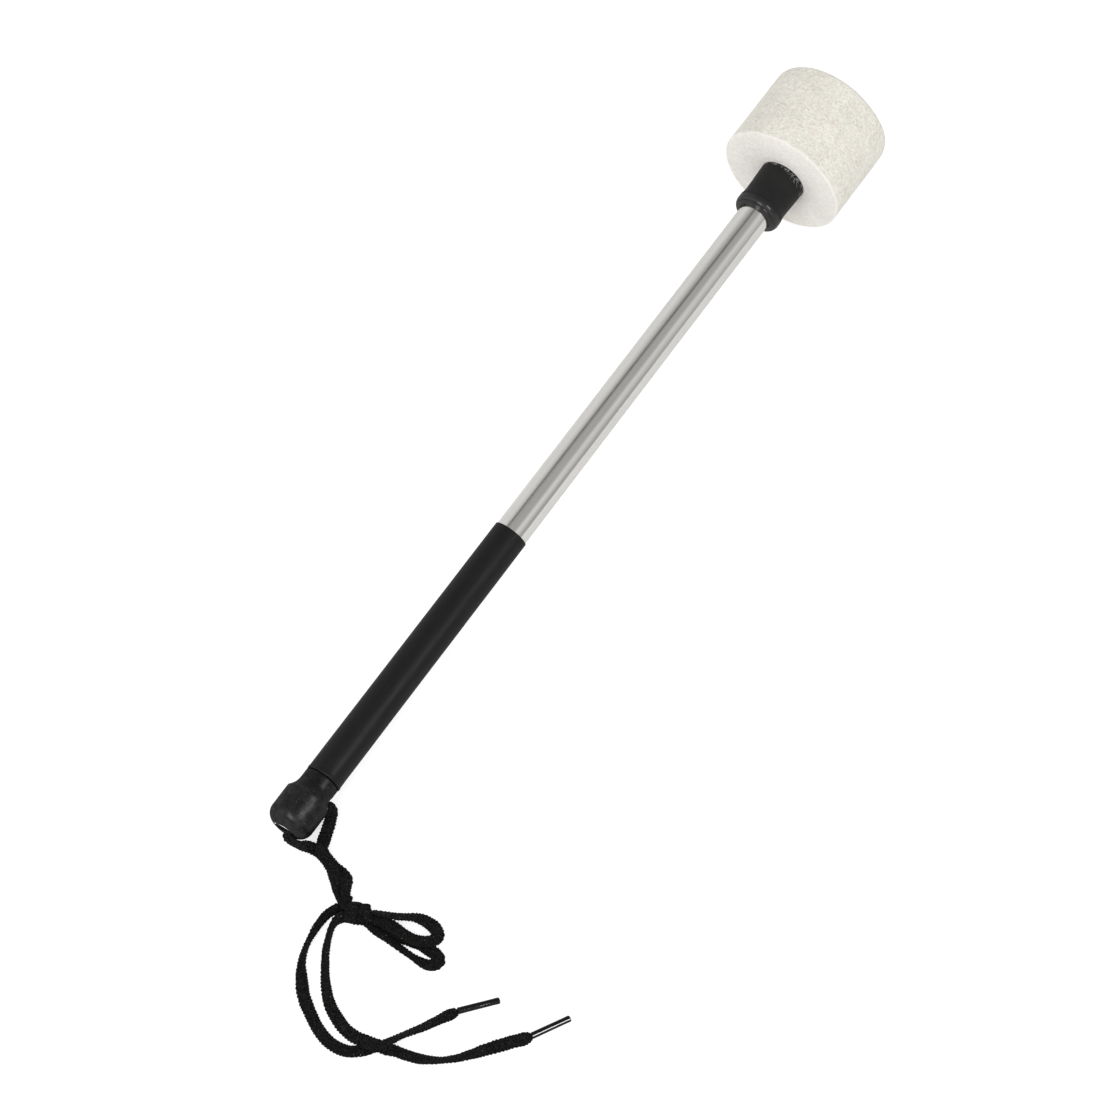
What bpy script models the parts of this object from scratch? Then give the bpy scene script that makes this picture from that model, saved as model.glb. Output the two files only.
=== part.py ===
"""A drum mallet lying on a table, in metres with +Z up and +Y from the end cap to the head.

A hard felt head sits on a rubber ferrule at one end of an aluminium tube, held by a washer and a
screw that bites in a wooden plug inside the tube. A thin black sleeve is the grip. A rubber cap
plugs the other end, and a flat wrist lace runs through it and is tied in a bow.

Turned pieces are drawn on the mallet's own axis. A station is a distance along that axis from the
end of the cap. The origin is on the table, under the middle of the rigid pieces.
"""

import math

import bmesh
import bpy
import numpy as np
from mathutils import Matrix, Vector

# Clearances
GAP = 0.0003  # between two faces that meet
SLIP = 0.0001  # round a piece that slides into another

# Shaft tube
TUBE_RADIUS = 0.00635
TUBE_WALL = 0.0012
BARE_TUBE_LENGTH = 0.1652  # between the grip and the ferrule

# Grip sleeve
GRIP_LENGTH = 0.1170
GRIP_WALL = 0.0003
GRIP_CUT_SLANT = math.radians(9)  # its upper end was cut a little out of square
GRIP_CUT_TURN = math.radians(20)  # the short side is on top, this far towards +X

# End cap
CAP_BULB_RADIUS = 0.00865
CAP_BULB_LENGTH = 0.0138
CAP_END_ROUND = 0.0046
CAP_NECK_RADIUS = 0.0067
CAP_NECK_LENGTH = 0.0086
CAP_NECK_EDGE = 0.0004
CAP_NECK_FLARE = math.radians(40)  # how far the neck has turned outwards where it meets the bulb
CAP_STEM_LENGTH = 0.0160
CAP_STEM_TAPER = 0.0006
LACE_HOLE_RADIUS = 0.0040
LACE_HOLE_LIP = 0.0006
LACE_HOLE_CONE = 0.0014
SIDE_HOLE_RADIUS = 0.0027
SIDE_HOLE_ABOVE_SHOULDER = 0.0029  # its centre, along the neck
SIDE_HOLE_DROP = math.radians(25)  # below level, on the +X side

# Ferrule
FERRULE_RADIUS = 0.0094
FERRULE_SHOWING = 0.0198
FERRULE_SEAT = 0.0120  # how far it goes into the felt
FERRULE_WAIST_RADIUS = 0.00905
FERRULE_WAIST_FROM_LIP = 0.0073
FERRULE_LIP_RADIUS = 0.0095
FERRULE_LIP_ROUND = 0.0028
FERRULE_GROOVE_DEPTH = 0.00035

# Felt head
HEAD_RADIUS = 0.0252
HEAD_THICKNESS = 0.0376
HEAD_NEAR_EDGE = 0.0006
HEAD_FAR_EDGE = 0.0028
FACE_DISH_DEPTH = 0.0008  # the felt is drawn in round the ferrule
FACE_DISH_RADIUS = 0.0200
COUNTERBORE_RADIUS = 0.0118
COUNTERBORE_DEPTH = 0.0046

# Fixing inside the head
WASHER_RADIUS = 0.0110
WASHER_THICKNESS = 0.0012
SCREW_RADIUS = 0.0018
SCREW_LENGTH = 0.0200
SCREW_POINT = 0.0030
SCREW_HEAD_RADIUS = 0.0042
SCREW_HEAD_HEIGHT = 0.0024
CROSS_WIDTH = 0.0011
CROSS_LENGTH = 0.0046
CROSS_DEPTH = 0.0013
PLUG_LENGTH = 0.0240
PLUG_COLLAR = 0.0016
PULL_UP_SPACE = 0.0006  # lets the screw draw the washer down on the felt

# Lace
LACE_WIDTH = 0.0046
LACE_THICKNESS = 0.0012
LACE_SPACING = 0.0034  # between the points of its curve
LACE_SHOULDER = 0.0014  # where it narrows to the aglet
LACE_END_SHARE = 0.5
TABLE_CLEARANCE = 0.00005
HALF_KNOT_WIDTH = 0.0070
HALF_KNOT_HEIGHT = 0.0040
HALF_KNOT_BULGE = 0.0014
HALF_KNOT_TAPER = 0.26  # it is this share slimmer where it meets the bow
BOW_KNOT_WIDTH = 0.0076
BOW_KNOT_HEIGHT = 0.0054
KNOT_SWELL = 0.16
AGLET_RADIUS = 0.00105
AGLET_LENGTH = 0.0141
OUTER_AGLET_TIP = (96.6, -8.1)  # where each points, in the route's millimetres
INNER_AGLET_TIP = (120.1, 0.0)

# Sides of the turned pieces
FINE_SIDES = 88
CAP_SIDES = 56
SHAFT_SIDES = 56
SMALL_SIDES = 32

MM = 0.001

cap_top = CAP_BULB_LENGTH + CAP_NECK_LENGTH
tube_start = cap_top + GAP
grip_top = tube_start + GRIP_LENGTH
ferrule_start = grip_top + BARE_TUBE_LENGTH
head_start = ferrule_start + FERRULE_SHOWING
head_end = head_start + HEAD_THICKNESS
counterbore_floor = head_end - COUNTERBORE_DEPTH
plug_top = counterbore_floor - PULL_UP_SPACE
tube_end = plug_top - PLUG_COLLAR - GAP
side_hole_station = CAP_BULB_LENGTH + SIDE_HOLE_ABOVE_SHOULDER
lace_hole_depth = side_hole_station + SIDE_HOLE_RADIUS + GAP


def clear_scene():
    for obj in list(bpy.data.objects):
        bpy.data.objects.remove(obj, do_unlink=True)


def new_collection(name):
    collection = bpy.data.collections.new(name)
    bpy.context.scene.collection.children.link(collection)
    return collection


def principled(name, colour, roughness, metallic=0.0):
    material = bpy.data.materials.new(name)
    material.use_nodes = True
    shader = material.node_tree.nodes["Principled BSDF"]
    shader.inputs["Base Color"].default_value = (*colour, 1.0)
    shader.inputs["Roughness"].default_value = roughness
    shader.inputs["Metallic"].default_value = metallic
    return material


def arc(centre_r, centre_z, radius, start, end, steps):
    """Points of a round stretch of a profile, as (radius, station), between two angles in degrees."""
    angles = np.radians(np.linspace(start, end, steps + 1))
    return [(centre_r + radius * math.cos(a), centre_z + radius * math.sin(a)) for a in angles]


def turned(name, profile, material, collection, sides, ring):
    """A solid of revolution about the local Z axis; a ring's profile is joined end to start.

    It is turned by half a side, so that a flat faces the table."""
    count = len(profile)
    edges = [(i, i + 1) for i in range(count - 1)] + ([(count - 1, 0)] if ring else [])
    mesh = bpy.data.meshes.new(name)
    mesh.from_pydata([(r, 0.0, z) for r, z in profile], edges, [])
    obj = bpy.data.objects.new(name, mesh)
    collection.objects.link(obj)
    screw = obj.modifiers.new("Turn", "SCREW")
    screw.steps = screw.render_steps = sides
    screw.use_merge_vertices = True
    screw.merge_threshold = 0.00001
    obj.rotation_euler.z = math.pi / sides
    mesh.materials.append(material)
    return obj


def solid_mesh(obj):
    """Applies an object's modifiers to its own mesh and shades it smooth between its sharp edges."""
    graph = bpy.context.evaluated_depsgraph_get()
    mesh = bpy.data.meshes.new_from_object(obj.evaluated_get(graph))
    obj.modifiers.clear()
    obj.data = mesh
    mesh.shade_smooth()
    mesh.set_sharp_from_angle(angle=math.radians(35))
    return obj


def cut(obj, cutter):
    """Takes a cutter out of a piece."""
    cutter.hide_render = True
    cutter.display_type = "WIRE"
    boolean = obj.modifiers.new("Cut " + cutter.name, "BOOLEAN")
    boolean.operation = "DIFFERENCE"
    boolean.solver = "EXACT"
    boolean.object = cutter


def box_cutter(name, collection, size, place):
    """A box of the given size whose centre and turn come from a matrix."""
    shape = bmesh.new()
    bmesh.ops.create_cube(shape, size=1.0)
    bmesh.ops.scale(shape, vec=size, verts=shape.verts)
    bmesh.ops.transform(shape, matrix=place, verts=shape.verts)
    return bmesh_object(name, shape, collection)


def bmesh_object(name, shape, collection):
    mesh = bpy.data.meshes.new(name)
    shape.to_mesh(mesh)
    shape.free()
    obj = bpy.data.objects.new(name, mesh)
    collection.objects.link(obj)
    return obj


def side_direction():
    """The way that the side hole points in the axis frame, whose +Y is down: out to +X and a little down."""
    return Vector((math.cos(SIDE_HOLE_DROP), math.sin(SIDE_HOLE_DROP), 0.0))


def make_end_cap(parts, cutters, material):
    """Bulb, neck that flares down to it and stem in one moulding, with the lace's two holes."""
    bulb, neck = CAP_BULB_RADIUS, CAP_NECK_RADIUS
    flare = (bulb - neck) / (1 - math.cos(CAP_NECK_FLARE))
    flare_top = CAP_BULB_LENGTH + flare * math.sin(CAP_NECK_FLARE)
    stem = TUBE_RADIUS - TUBE_WALL - SLIP
    stem_top = cap_top + CAP_STEM_LENGTH
    lip = LACE_HOLE_RADIUS + LACE_HOLE_LIP
    profile = [(0.0, stem_top), (stem - CAP_STEM_TAPER, stem_top), (stem, stem_top - 4 * CAP_STEM_TAPER)]
    profile += [(stem, cap_top)]
    profile += arc(neck - CAP_NECK_EDGE, cap_top - CAP_NECK_EDGE, CAP_NECK_EDGE, 90, 0, 2)
    profile += arc(neck + flare, flare_top, flare, 180, 180 + math.degrees(CAP_NECK_FLARE), 5)
    profile += arc(bulb - CAP_END_ROUND, CAP_END_ROUND, CAP_END_ROUND, 0, -90, 7)
    profile += arc(lip, LACE_HOLE_LIP, LACE_HOLE_LIP, 270, 180, 3)
    profile += [(LACE_HOLE_RADIUS, lace_hole_depth)]
    profile += [(0.0, lace_hole_depth + LACE_HOLE_CONE)]
    cap = turned("end_cap", profile, material, parts, CAP_SIDES, ring=False)

    shape = bmesh.new()
    reach = 2 * bulb
    bmesh.ops.create_cone(
        shape, cap_ends=True, segments=SMALL_SIDES, radius1=SIDE_HOLE_RADIUS, radius2=SIDE_HOLE_RADIUS, depth=reach
    )
    along = side_direction()
    turn = along.to_track_quat("Z", "Y").to_matrix().to_4x4()
    middle = along * (reach / 2) + Vector((0.0, 0.0, side_hole_station))
    bmesh.ops.transform(shape, matrix=Matrix.Translation(middle) @ turn, verts=shape.verts)
    cutter = bmesh_object("side_hole_cutter", shape, cutters)
    return cap, cutter


def make_shaft_tube(parts, material):
    outer, inner = TUBE_RADIUS, TUBE_RADIUS - TUBE_WALL
    profile = [(outer, tube_end), (outer, tube_start), (inner, tube_start), (inner, tube_end)]
    return turned("shaft_tube", profile, material, parts, SHAFT_SIDES, ring=True)


def make_grip_sleeve(parts, cutters, material):
    """A thin sleeve on the tube, whose upper end is cut off along a slightly slanted plane."""
    inner = TUBE_RADIUS + SLIP
    outer = inner + GRIP_WALL
    rise = outer * math.tan(GRIP_CUT_SLANT)
    top = grip_top + 2 * rise
    profile = [(outer, top), (outer, tube_start), (inner, tube_start), (inner, top)]
    sleeve = turned("grip_sleeve", profile, material, parts, SHAFT_SIDES, ring=True)
    block = 6 * outer
    slant = Matrix.Rotation(GRIP_CUT_TURN, 4, "Z") @ Matrix.Rotation(GRIP_CUT_SLANT, 4, "X")
    place = Matrix.Translation((0.0, 0.0, grip_top)) @ slant @ Matrix.Translation((0.0, 0.0, block / 2))
    return sleeve, box_cutter("grip_end_cutter", cutters, (block, block, block), place)


def make_ferrule(parts, material):
    """A rubber collar with a slight waist and a swollen, rolled lip that has a fine groove in its face."""
    inner = TUBE_RADIUS + SLIP
    top = head_start + FERRULE_SEAT
    waist = ferrule_start + FERRULE_WAIST_FROM_LIP
    roll = FERRULE_LIP_ROUND
    roll_r = FERRULE_LIP_RADIUS - roll
    groove_r = roll_r + (roll - FERRULE_GROOVE_DEPTH) * math.cos(math.radians(-50))
    groove_z = ferrule_start + roll - (roll - FERRULE_GROOVE_DEPTH) * math.sin(math.radians(50))
    profile = [(FERRULE_RADIUS, top), (FERRULE_RADIUS, head_start)]
    profile += [(FERRULE_RADIUS, waist + 0.7 * FERRULE_WAIST_FROM_LIP)]
    profile += [(0.5 * (FERRULE_RADIUS + FERRULE_WAIST_RADIUS), waist + 0.3 * FERRULE_WAIST_FROM_LIP)]
    profile += [(FERRULE_WAIST_RADIUS, waist)]
    profile += [(0.5 * (FERRULE_LIP_RADIUS + FERRULE_WAIST_RADIUS), ferrule_start + 2 * roll)]
    profile += arc(roll_r, ferrule_start + roll, roll, 25, -44, 5)
    profile += [(groove_r, groove_z)]
    profile += arc(roll_r, ferrule_start + roll, roll, -56, -90, 3)
    profile += [(inner, ferrule_start + GAP), (inner, top)]
    return turned("ferrule", profile, material, parts, CAP_SIDES, ring=True)


def make_felt_head(parts, material):
    """A felt cylinder: counterbore in the far face, tube and ferrule bores, a dish round the ferrule."""
    edge, far = HEAD_NEAR_EDGE, HEAD_FAR_EDGE
    ferrule_bore = FERRULE_RADIUS + SLIP
    tube_bore = TUBE_RADIUS + SLIP
    seat = head_start + FERRULE_SEAT + GAP
    dish = head_start + FACE_DISH_DEPTH
    middle = 0.5 * (ferrule_bore + FACE_DISH_RADIUS)
    profile = [(COUNTERBORE_RADIUS, head_end)]
    profile += arc(HEAD_RADIUS - far, head_end - far, far, 90, 0, 4)
    profile += arc(HEAD_RADIUS - edge, head_start + edge, edge, 0, -90, 3)
    profile += [(FACE_DISH_RADIUS, head_start), (middle, head_start + 0.4 * FACE_DISH_DEPTH)]
    profile += [(ferrule_bore, dish), (ferrule_bore, seat), (tube_bore, seat)]
    profile += [(tube_bore, counterbore_floor), (COUNTERBORE_RADIUS, counterbore_floor)]
    return turned("felt_head", profile, material, parts, FINE_SIDES, ring=True)


def make_head_plug(parts, material):
    """The turned wooden plug in the tube's end: a shank, a collar on the tube's rim and a pilot hole."""
    shank = TUBE_RADIUS - TUBE_WALL - SLIP
    pilot = SCREW_RADIUS + SLIP
    collar = tube_end + GAP
    bottom = plug_top - PLUG_LENGTH
    profile = [(TUBE_RADIUS, plug_top), (TUBE_RADIUS, collar), (shank, collar), (shank, bottom)]
    profile += [(pilot, bottom), (pilot, plug_top)]
    return turned("head_plug", profile, material, parts, SMALL_SIDES, ring=True)


def make_head_washer(parts, material):
    hole = SCREW_RADIUS + 4 * SLIP
    bottom = counterbore_floor + GAP
    top = bottom + WASHER_THICKNESS
    profile = [(WASHER_RADIUS, top), (WASHER_RADIUS, bottom), (hole, bottom), (hole, top)]
    return turned("head_washer", profile, material, parts, FINE_SIDES // 2, ring=True)


def make_head_screw(parts, cutters, material):
    """A pan-head screw with a cross recess, through the washer and into the plug."""
    seat = counterbore_floor + WASHER_THICKNESS + 2 * GAP
    head, height = SCREW_HEAD_RADIUS, SCREW_HEAD_HEIGHT
    top = seat + height
    profile = [(0.0, top), (0.55 * head, top - 0.06 * height)]
    profile += [(0.85 * head, top - 0.30 * height), (head, top - 0.62 * height), (head, seat)]
    profile += [(SCREW_RADIUS, seat), (SCREW_RADIUS, seat - SCREW_LENGTH + SCREW_POINT)]
    profile += [(0.0, seat - SCREW_LENGTH)]
    screw = turned("head_screw", profile, material, parts, SMALL_SIDES, ring=False)
    bars = []
    for number, size in enumerate(((CROSS_LENGTH, CROSS_WIDTH), (CROSS_WIDTH, CROSS_LENGTH))):
        place = Matrix.Translation((0.0, 0.0, top))
        bars.append(box_cutter(f"cross_cutter_{number}", cutters, (*size, 2 * CROSS_DEPTH), place))
    return screw, bars


def resting_height(lift, lean):
    """The height of a lace's middle when its lowest edge is lift above the table; a lean of 90 is on edge."""
    return lift + LACE_THICKNESS / 2 + (LACE_WIDTH - LACE_THICKNESS) / 2 * np.abs(np.sin(np.radians(lean)))


def smooth_route(points, spacing, cut_back):
    """Rows of x, y, z and lean at an even spacing along a Catmull-Rom curve through a route's points.

    A route's points are x, y and lift in millimetres, from a spot on the table below the middle of the
    cap's end, and the lean in degrees. Both ends are cut back, so that two stretches meet with a gap."""
    rows = np.array(points, float)
    rows[:, :3] *= MM
    ends = np.vstack([2 * rows[0] - rows[1], rows, 2 * rows[-1] - rows[-2]])
    steps = np.sqrt(np.linalg.norm(np.diff(ends[:, :3], axis=0), axis=1))
    knots = np.concatenate([[0.0], np.cumsum(steps)])
    dense = []
    for i in range(1, len(rows)):
        t0, t1, t2, t3 = knots[i - 1 : i + 3]
        p0, p1, p2, p3 = ends[i - 1 : i + 3]
        t = np.linspace(t1, t2, 40, endpoint=i == len(rows) - 1)[:, None]
        a1 = (t1 - t) / (t1 - t0) * p0 + (t - t0) / (t1 - t0) * p1
        a2 = (t2 - t) / (t2 - t1) * p1 + (t - t1) / (t2 - t1) * p2
        a3 = (t3 - t) / (t3 - t2) * p2 + (t - t2) / (t3 - t2) * p3
        b1 = (t2 - t) / (t2 - t0) * a1 + (t - t0) / (t2 - t0) * a2
        b2 = (t3 - t) / (t3 - t1) * a2 + (t - t1) / (t3 - t1) * a3
        dense.append((t2 - t) / (t2 - t1) * b1 + (t - t1) / (t2 - t1) * b2)
    dense = np.vstack(dense)
    dense[:, 2] = resting_height(np.maximum(dense[:, 2], TABLE_CLEARANCE), dense[:, 3])
    run = np.concatenate([[0.0], np.cumsum(np.linalg.norm(np.diff(dense[:, :3], axis=0), axis=1))])
    count = max(3, round(run[-1] / spacing) + 1)
    at = np.linspace(cut_back, run[-1] - cut_back, count)
    return np.column_stack([np.interp(at, run, dense[:, k]) for k in range(4)])


def make_lace(name, points, parts, material, spacing=LACE_SPACING, narrow_end=False):
    """A stretch of flat lace with rounded edges: a curve with an extrusion, a bevel and filled caps."""
    rows = smooth_route(points, spacing, GAP / 2)
    radii = np.ones(len(rows))
    if narrow_end:
        shoulder = rows[-1] + (rows[-2] - rows[-1]) * LACE_SHOULDER / spacing
        rows = np.vstack([rows[:-1], shoulder, rows[-1]])
        radii = np.append(np.ones(len(rows) - 1), LACE_END_SHARE)
    return flat_tube(name, rows, radii, LACE_WIDTH, LACE_THICKNESS, parts, material)


def make_knot(name, ends, width, thickness, humps, bulge, taper, parts, material):
    """A pulled knot: a thick flat tube that swells once for each turn of lace.

    It may bulge to its left and grow slimmer towards its second end."""
    count = 6 * humps + 1
    share = np.linspace(0.0, 1.0, count)[:, None]
    first, last = (np.array(end) * MM for end in ends)
    along = (last - first) / np.linalg.norm(last - first)
    left = np.array([-along[1], along[0], 0.0])
    middle = first + (last - first) * share + left * bulge * np.sin(math.pi * share)
    rows = np.column_stack([middle, np.zeros(count)])
    rows[:, 2] += thickness / 2 + TABLE_CLEARANCE
    swell = 1.0 - KNOT_SWELL * (1.0 - np.sqrt(np.abs(np.sin(math.pi * humps * share[:, 0]))))
    radii = swell * (1.0 - taper * share[:, 0])
    return flat_tube(name, rows, radii, width, thickness, parts, material)


def flat_tube(name, rows, radii, width, thickness, parts, material):
    """A curve whose section is a flat bar with round edges, turned by each row's lean."""
    curve = bpy.data.curves.new(name, "CURVE")
    curve.dimensions = "3D"
    curve.twist_mode = "Z_UP"
    curve.extrude = (width - thickness) / 2
    curve.bevel_depth = thickness / 2
    curve.bevel_resolution = 1
    curve.use_fill_caps = True
    spline = curve.splines.new("POLY")
    spline.points.add(len(rows) - 1)
    for point, (x, y, z, lean), radius in zip(spline.points, rows, radii):
        point.co = (x, y, z, 1.0)
        point.tilt = math.radians(90 - lean)
        point.radius = radius
    curve.materials.append(material)
    obj = bpy.data.objects.new(name, curve)
    parts.objects.link(obj)
    return obj


def make_aglet(name, start, towards, parts, material):
    """The hard plastic tip on a lace's end: a cylinder that lies on the table."""
    shape = bmesh.new()
    bmesh.ops.create_cone(
        shape, cap_ends=True, segments=20, radius1=AGLET_RADIUS, radius2=AGLET_RADIUS, depth=AGLET_LENGTH
    )
    rims = [e for e in shape.edges if all(abs(abs(v.co.z) - AGLET_LENGTH / 2) < 1e-6 for v in e.verts)]
    bmesh.ops.bevel(shape, geom=rims, offset=0.15 * AGLET_RADIUS, segments=1, affect="EDGES")
    obj = bmesh_object(name, shape, parts)
    along = (Vector(towards) - Vector(start)).normalized()
    obj.rotation_euler = Vector((along.x, along.y, 0.0)).to_track_quat("Z", "Y").to_euler()
    obj.location = Vector((*start, 0.0)) * MM + Vector((along.x, along.y, 0.0)) * (AGLET_LENGTH / 2 + GAP)
    obj.location.z = AGLET_RADIUS + TABLE_CLEARANCE
    obj.data.materials.append(material)
    obj.data.shade_smooth()
    obj.data.set_sharp_from_angle(angle=math.radians(35))
    return obj


# The lace's route: x, y, lift (millimetres) and lean (degrees). A positive lean raises the right edge.
IN_CAP = (
    (1.0, 0.4, 5.2, 60),
    (0.5, 3.5, 5.6, 70),
    (0.2, 8.0, 6.3, 80),
    (0.3, 12.0, 6.7, 90),
    (1.4, 15.2, 6.6, 90),
    (3.8, 16.7, 5.5, 90),
    (6.6, 16.7, 4.2, 88),
)
SIDE_STRAND = (
    (6.6, 16.7, 4.2, 88),
    (8.6, 16.4, 3.2, 80),
    (10.3, 15.0, 2.3, 65),
    (11.7, 12.4, 1.6, 50),
    (12.8, 8.4, 1.3, 40),
    (13.6, 4.6, 1.3, 30),
    (15.1, 1.6, 1.6, 20),
    (17.8, -0.1, 1.8, 10),
    (20.4, -1.3, 1.8, 5),
    (22.7, -2.5, 1.6, 0),
)
END_STRAND = (
    (1.0, 0.4, 5.2, 60),
    (1.5, -0.8, 4.5, 80),
    (3.0, -1.3, 3.2, 85),
    (5.3, -1.0, 1.8, 75),
    (8.3, 0.2, 0.8, 50),
    (11.7, 1.3, 0.3, 20),
    (15.1, 1.2, 0.05, 5),
    (18.8, -0.5, 0.05, 0),
    (22.7, -2.6, 0.05, 0),
)
UPPER_LOOP = (
    (42.5, -5.3, 1.8, 80),
    (45.6, -4.5, 2.0, 74),
    (49.6, -3.1, 2.0, 60),
    (55.4, 0.4, 1.8, 50),
    (60.8, 1.9, 1.6, 35),
    (65.2, 0.7, 1.8, 22),
    (66.0, -2.9, 2.1, 15),
    (61.6, -5.5, 2.2, 12),
    (55.5, -6.9, 2.2, 10),
    (48.5, -7.5, 2.2, 8),
    (43.6, -8.9, 2.2, 5),
)
LOWER_LOOP = (
    (44.6, -13.0, 0.1, 80),
    (48.6, -13.1, 0.05, 72),
    (57.4, -12.6, 0.05, 55),
    (65.6, -12.1, 0.05, 32),
    (70.4, -11.0, 0.05, 18),
    (71.0, -7.5, 0.05, 10),
    (67.6, -5.2, 0.05, 8),
    (62.1, -6.5, 0.05, 8),
    (56.0, -7.9, 0.05, 8),
    (48.6, -8.8, 0.05, 5),
    (44.3, -9.6, 0.05, 5),
)
OUTER_TAIL = (
    (32.4, -10.0, 0.3, 60),
    (31.0, -11.3, 0.2, 68),
    (29.7, -15.8, 0.05, 74),
    (29.3, -23.0, 0.05, 72),
    (30.5, -28.7, 0.05, 60),
    (32.9, -34.8, 0.05, 40),
    (36.3, -40.2, 0.05, 20),
    (40.2, -44.6, 0.05, 12),
    (44.7, -47.7, 0.05, 8),
    (50.6, -50.7, 0.05, 5),
    (55.7, -52.5, 0.05, 5),
    (61.0, -52.6, 0.05, 5),
    (65.3, -51.3, 0.05, 5),
    (68.2, -49.4, 0.05, 5),
    (71.0, -46.3, 0.05, 8),
    (74.0, -41.0, 0.05, 10),
    (78.4, -33.6, 0.05, 58),
    (82.4, -27.2, 0.05, 35),
    (87.0, -19.4, 0.15, 0),
)
INNER_TAIL = (
    (34.1, -13.4, 0.3, 66),
    (33.6, -16.2, 0.1, 72),
    (34.1, -19.8, 0.05, 75),
    (36.3, -24.5, 0.05, 70),
    (39.8, -30.6, 0.05, 60),
    (43.9, -35.7, 0.05, 46),
    (47.5, -40.1, 0.05, 36),
    (51.5, -43.3, 0.05, 25),
    (55.9, -45.5, 0.3, 12),
    (60.9, -47.2, 1.0, 5),
    (65.3, -47.0, 1.9, 0),
    (70.2, -45.8, 2.3, 0),
    (75.1, -43.9, 2.3, 0),
    (79.8, -42.5, 1.4, 5),
    (84.0, -41.8, 0.5, 20),
    (89.3, -40.2, 0.05, 50),
    (94.6, -36.2, 0.05, 58),
    (99.2, -30.9, 0.05, 40),
    (103.6, -24.5, 0.05, 10),
    (107.9, -18.3, 0.05, 0),
    (111.2, -14.7, 0.05, 0),
    (113.0, -12.4, 0.15, 0),
)
HALF_KNOT = ((23.8, -2.5, 0.0), (30.6, -8.6, 0.0))
BOW_KNOT = ((34.2, -11.6, 0.0), (41.6, -7.2, 0.0))


def resting_tilt():
    """The axis's slope when the cap's bulb and the head's near edge both touch the table on a flat side."""
    bulb = CAP_BULB_RADIUS * math.cos(math.pi / CAP_SIDES)
    head = HEAD_RADIUS * math.cos(math.pi / FINE_SIDES)
    tilt = math.atan2(head - bulb, head_start + HEAD_NEAR_EDGE - CAP_END_ROUND)
    return tilt, bulb * math.cos(tilt) - CAP_END_ROUND * math.sin(tilt)


def place_empties(helpers):
    """An empty on the table under the cap's end, and one on the mallet's axis there, whose +Z runs along it."""
    tilt, height = resting_tilt()
    front = -(LACE_HOLE_RADIUS + LACE_HOLE_LIP) * math.sin(tilt)
    back = head_end * math.cos(tilt) + (HEAD_RADIUS - HEAD_FAR_EDGE) * math.sin(tilt)
    under_cap = bpy.data.objects.new("under_cap_end", None)
    under_cap.location = (0.0, -(front + back) / 2, 0.0)
    axis = bpy.data.objects.new("mallet_axis", None)
    axis.parent = under_cap
    axis.location = (0.0, 0.0, height)
    axis.rotation_euler = (tilt - math.pi / 2, 0.0, 0.0)
    for empty in (under_cap, axis):
        empty.empty_display_size = 0.02
        helpers.objects.link(empty)
    return under_cap, axis


def main():
    clear_scene()
    parts = new_collection("drum_mallet")
    helpers = new_collection("cutters_and_axes")
    under_cap, axis = place_empties(helpers)

    felt = principled("felt", (0.72, 0.69, 0.65), 0.95)
    aluminium = principled("satin_aluminium", (0.62, 0.62, 0.63), 0.32, 1.0)
    rubber = principled("black_rubber", (0.018, 0.018, 0.019), 0.42)
    sleeve = principled("charcoal_sleeve", (0.02, 0.02, 0.021), 0.6)
    steel = principled("zinc_plated_steel", (0.55, 0.55, 0.54), 0.35, 1.0)
    wood = principled("turned_wood", (0.55, 0.38, 0.21), 0.6)
    lace = principled("woven_lace", (0.012, 0.012, 0.012), 0.9)
    tip = principled("aglet_plastic", (0.015, 0.015, 0.016), 0.15)

    cap, side_hole = make_end_cap(parts, helpers, rubber)
    cut(cap, side_hole)
    grip, slant = make_grip_sleeve(parts, helpers, sleeve)
    cut(grip, slant)
    screw, bars = make_head_screw(parts, helpers, steel)
    for bar in bars:
        cut(screw, bar)
    turned_pieces = [
        cap,
        grip,
        screw,
        make_shaft_tube(parts, aluminium),
        make_ferrule(parts, rubber),
        make_felt_head(parts, felt),
        make_head_plug(parts, wood),
        make_head_washer(parts, steel),
    ]
    for piece in [*turned_pieces, side_hole, slant, *bars]:
        piece.parent = axis
    bpy.context.view_layer.update()
    for piece in turned_pieces:
        solid_mesh(piece)

    soft_pieces = [
        make_lace("lace_in_cap", IN_CAP, parts, lace, spacing=LACE_SPACING / 2),
        make_lace("lace_side_strand", SIDE_STRAND, parts, lace, spacing=LACE_SPACING / 2),
        make_lace("lace_end_strand", END_STRAND, parts, lace, spacing=LACE_SPACING / 2),
        make_knot("half_knot", HALF_KNOT, HALF_KNOT_WIDTH, HALF_KNOT_HEIGHT, 2, HALF_KNOT_BULGE, HALF_KNOT_TAPER, parts, lace),
        make_knot("bow_knot", BOW_KNOT, BOW_KNOT_WIDTH, BOW_KNOT_HEIGHT, 3, 0.0, 0.0, parts, lace),
        make_lace("bow_loop_upper", UPPER_LOOP, parts, lace, spacing=LACE_SPACING / 2),
        make_lace("bow_loop_lower", LOWER_LOOP, parts, lace, spacing=LACE_SPACING / 2),
        make_lace("tail_outer", OUTER_TAIL, parts, lace, narrow_end=True),
        make_lace("tail_inner", INNER_TAIL, parts, lace, narrow_end=True),
        make_aglet("aglet_outer", OUTER_TAIL[-1][:2], OUTER_AGLET_TIP, parts, tip),
        make_aglet("aglet_inner", INNER_TAIL[-1][:2], INNER_AGLET_TIP, parts, tip),
    ]
    for piece in soft_pieces:
        piece.parent = under_cap
    bpy.context.view_layer.update()


main()
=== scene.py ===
"""Looks for the drum mallet: smooth turned pieces, one flat lace with its knots, finishes, light and camera.

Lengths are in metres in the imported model's frame: +Y from the end cap to the head, +Z up, the table at zero.
A station is a distance along the mallet's own axis from the cap's end.
"""

import math

import bpy
import numpy as np
from mathutils import Matrix, Vector


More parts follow.
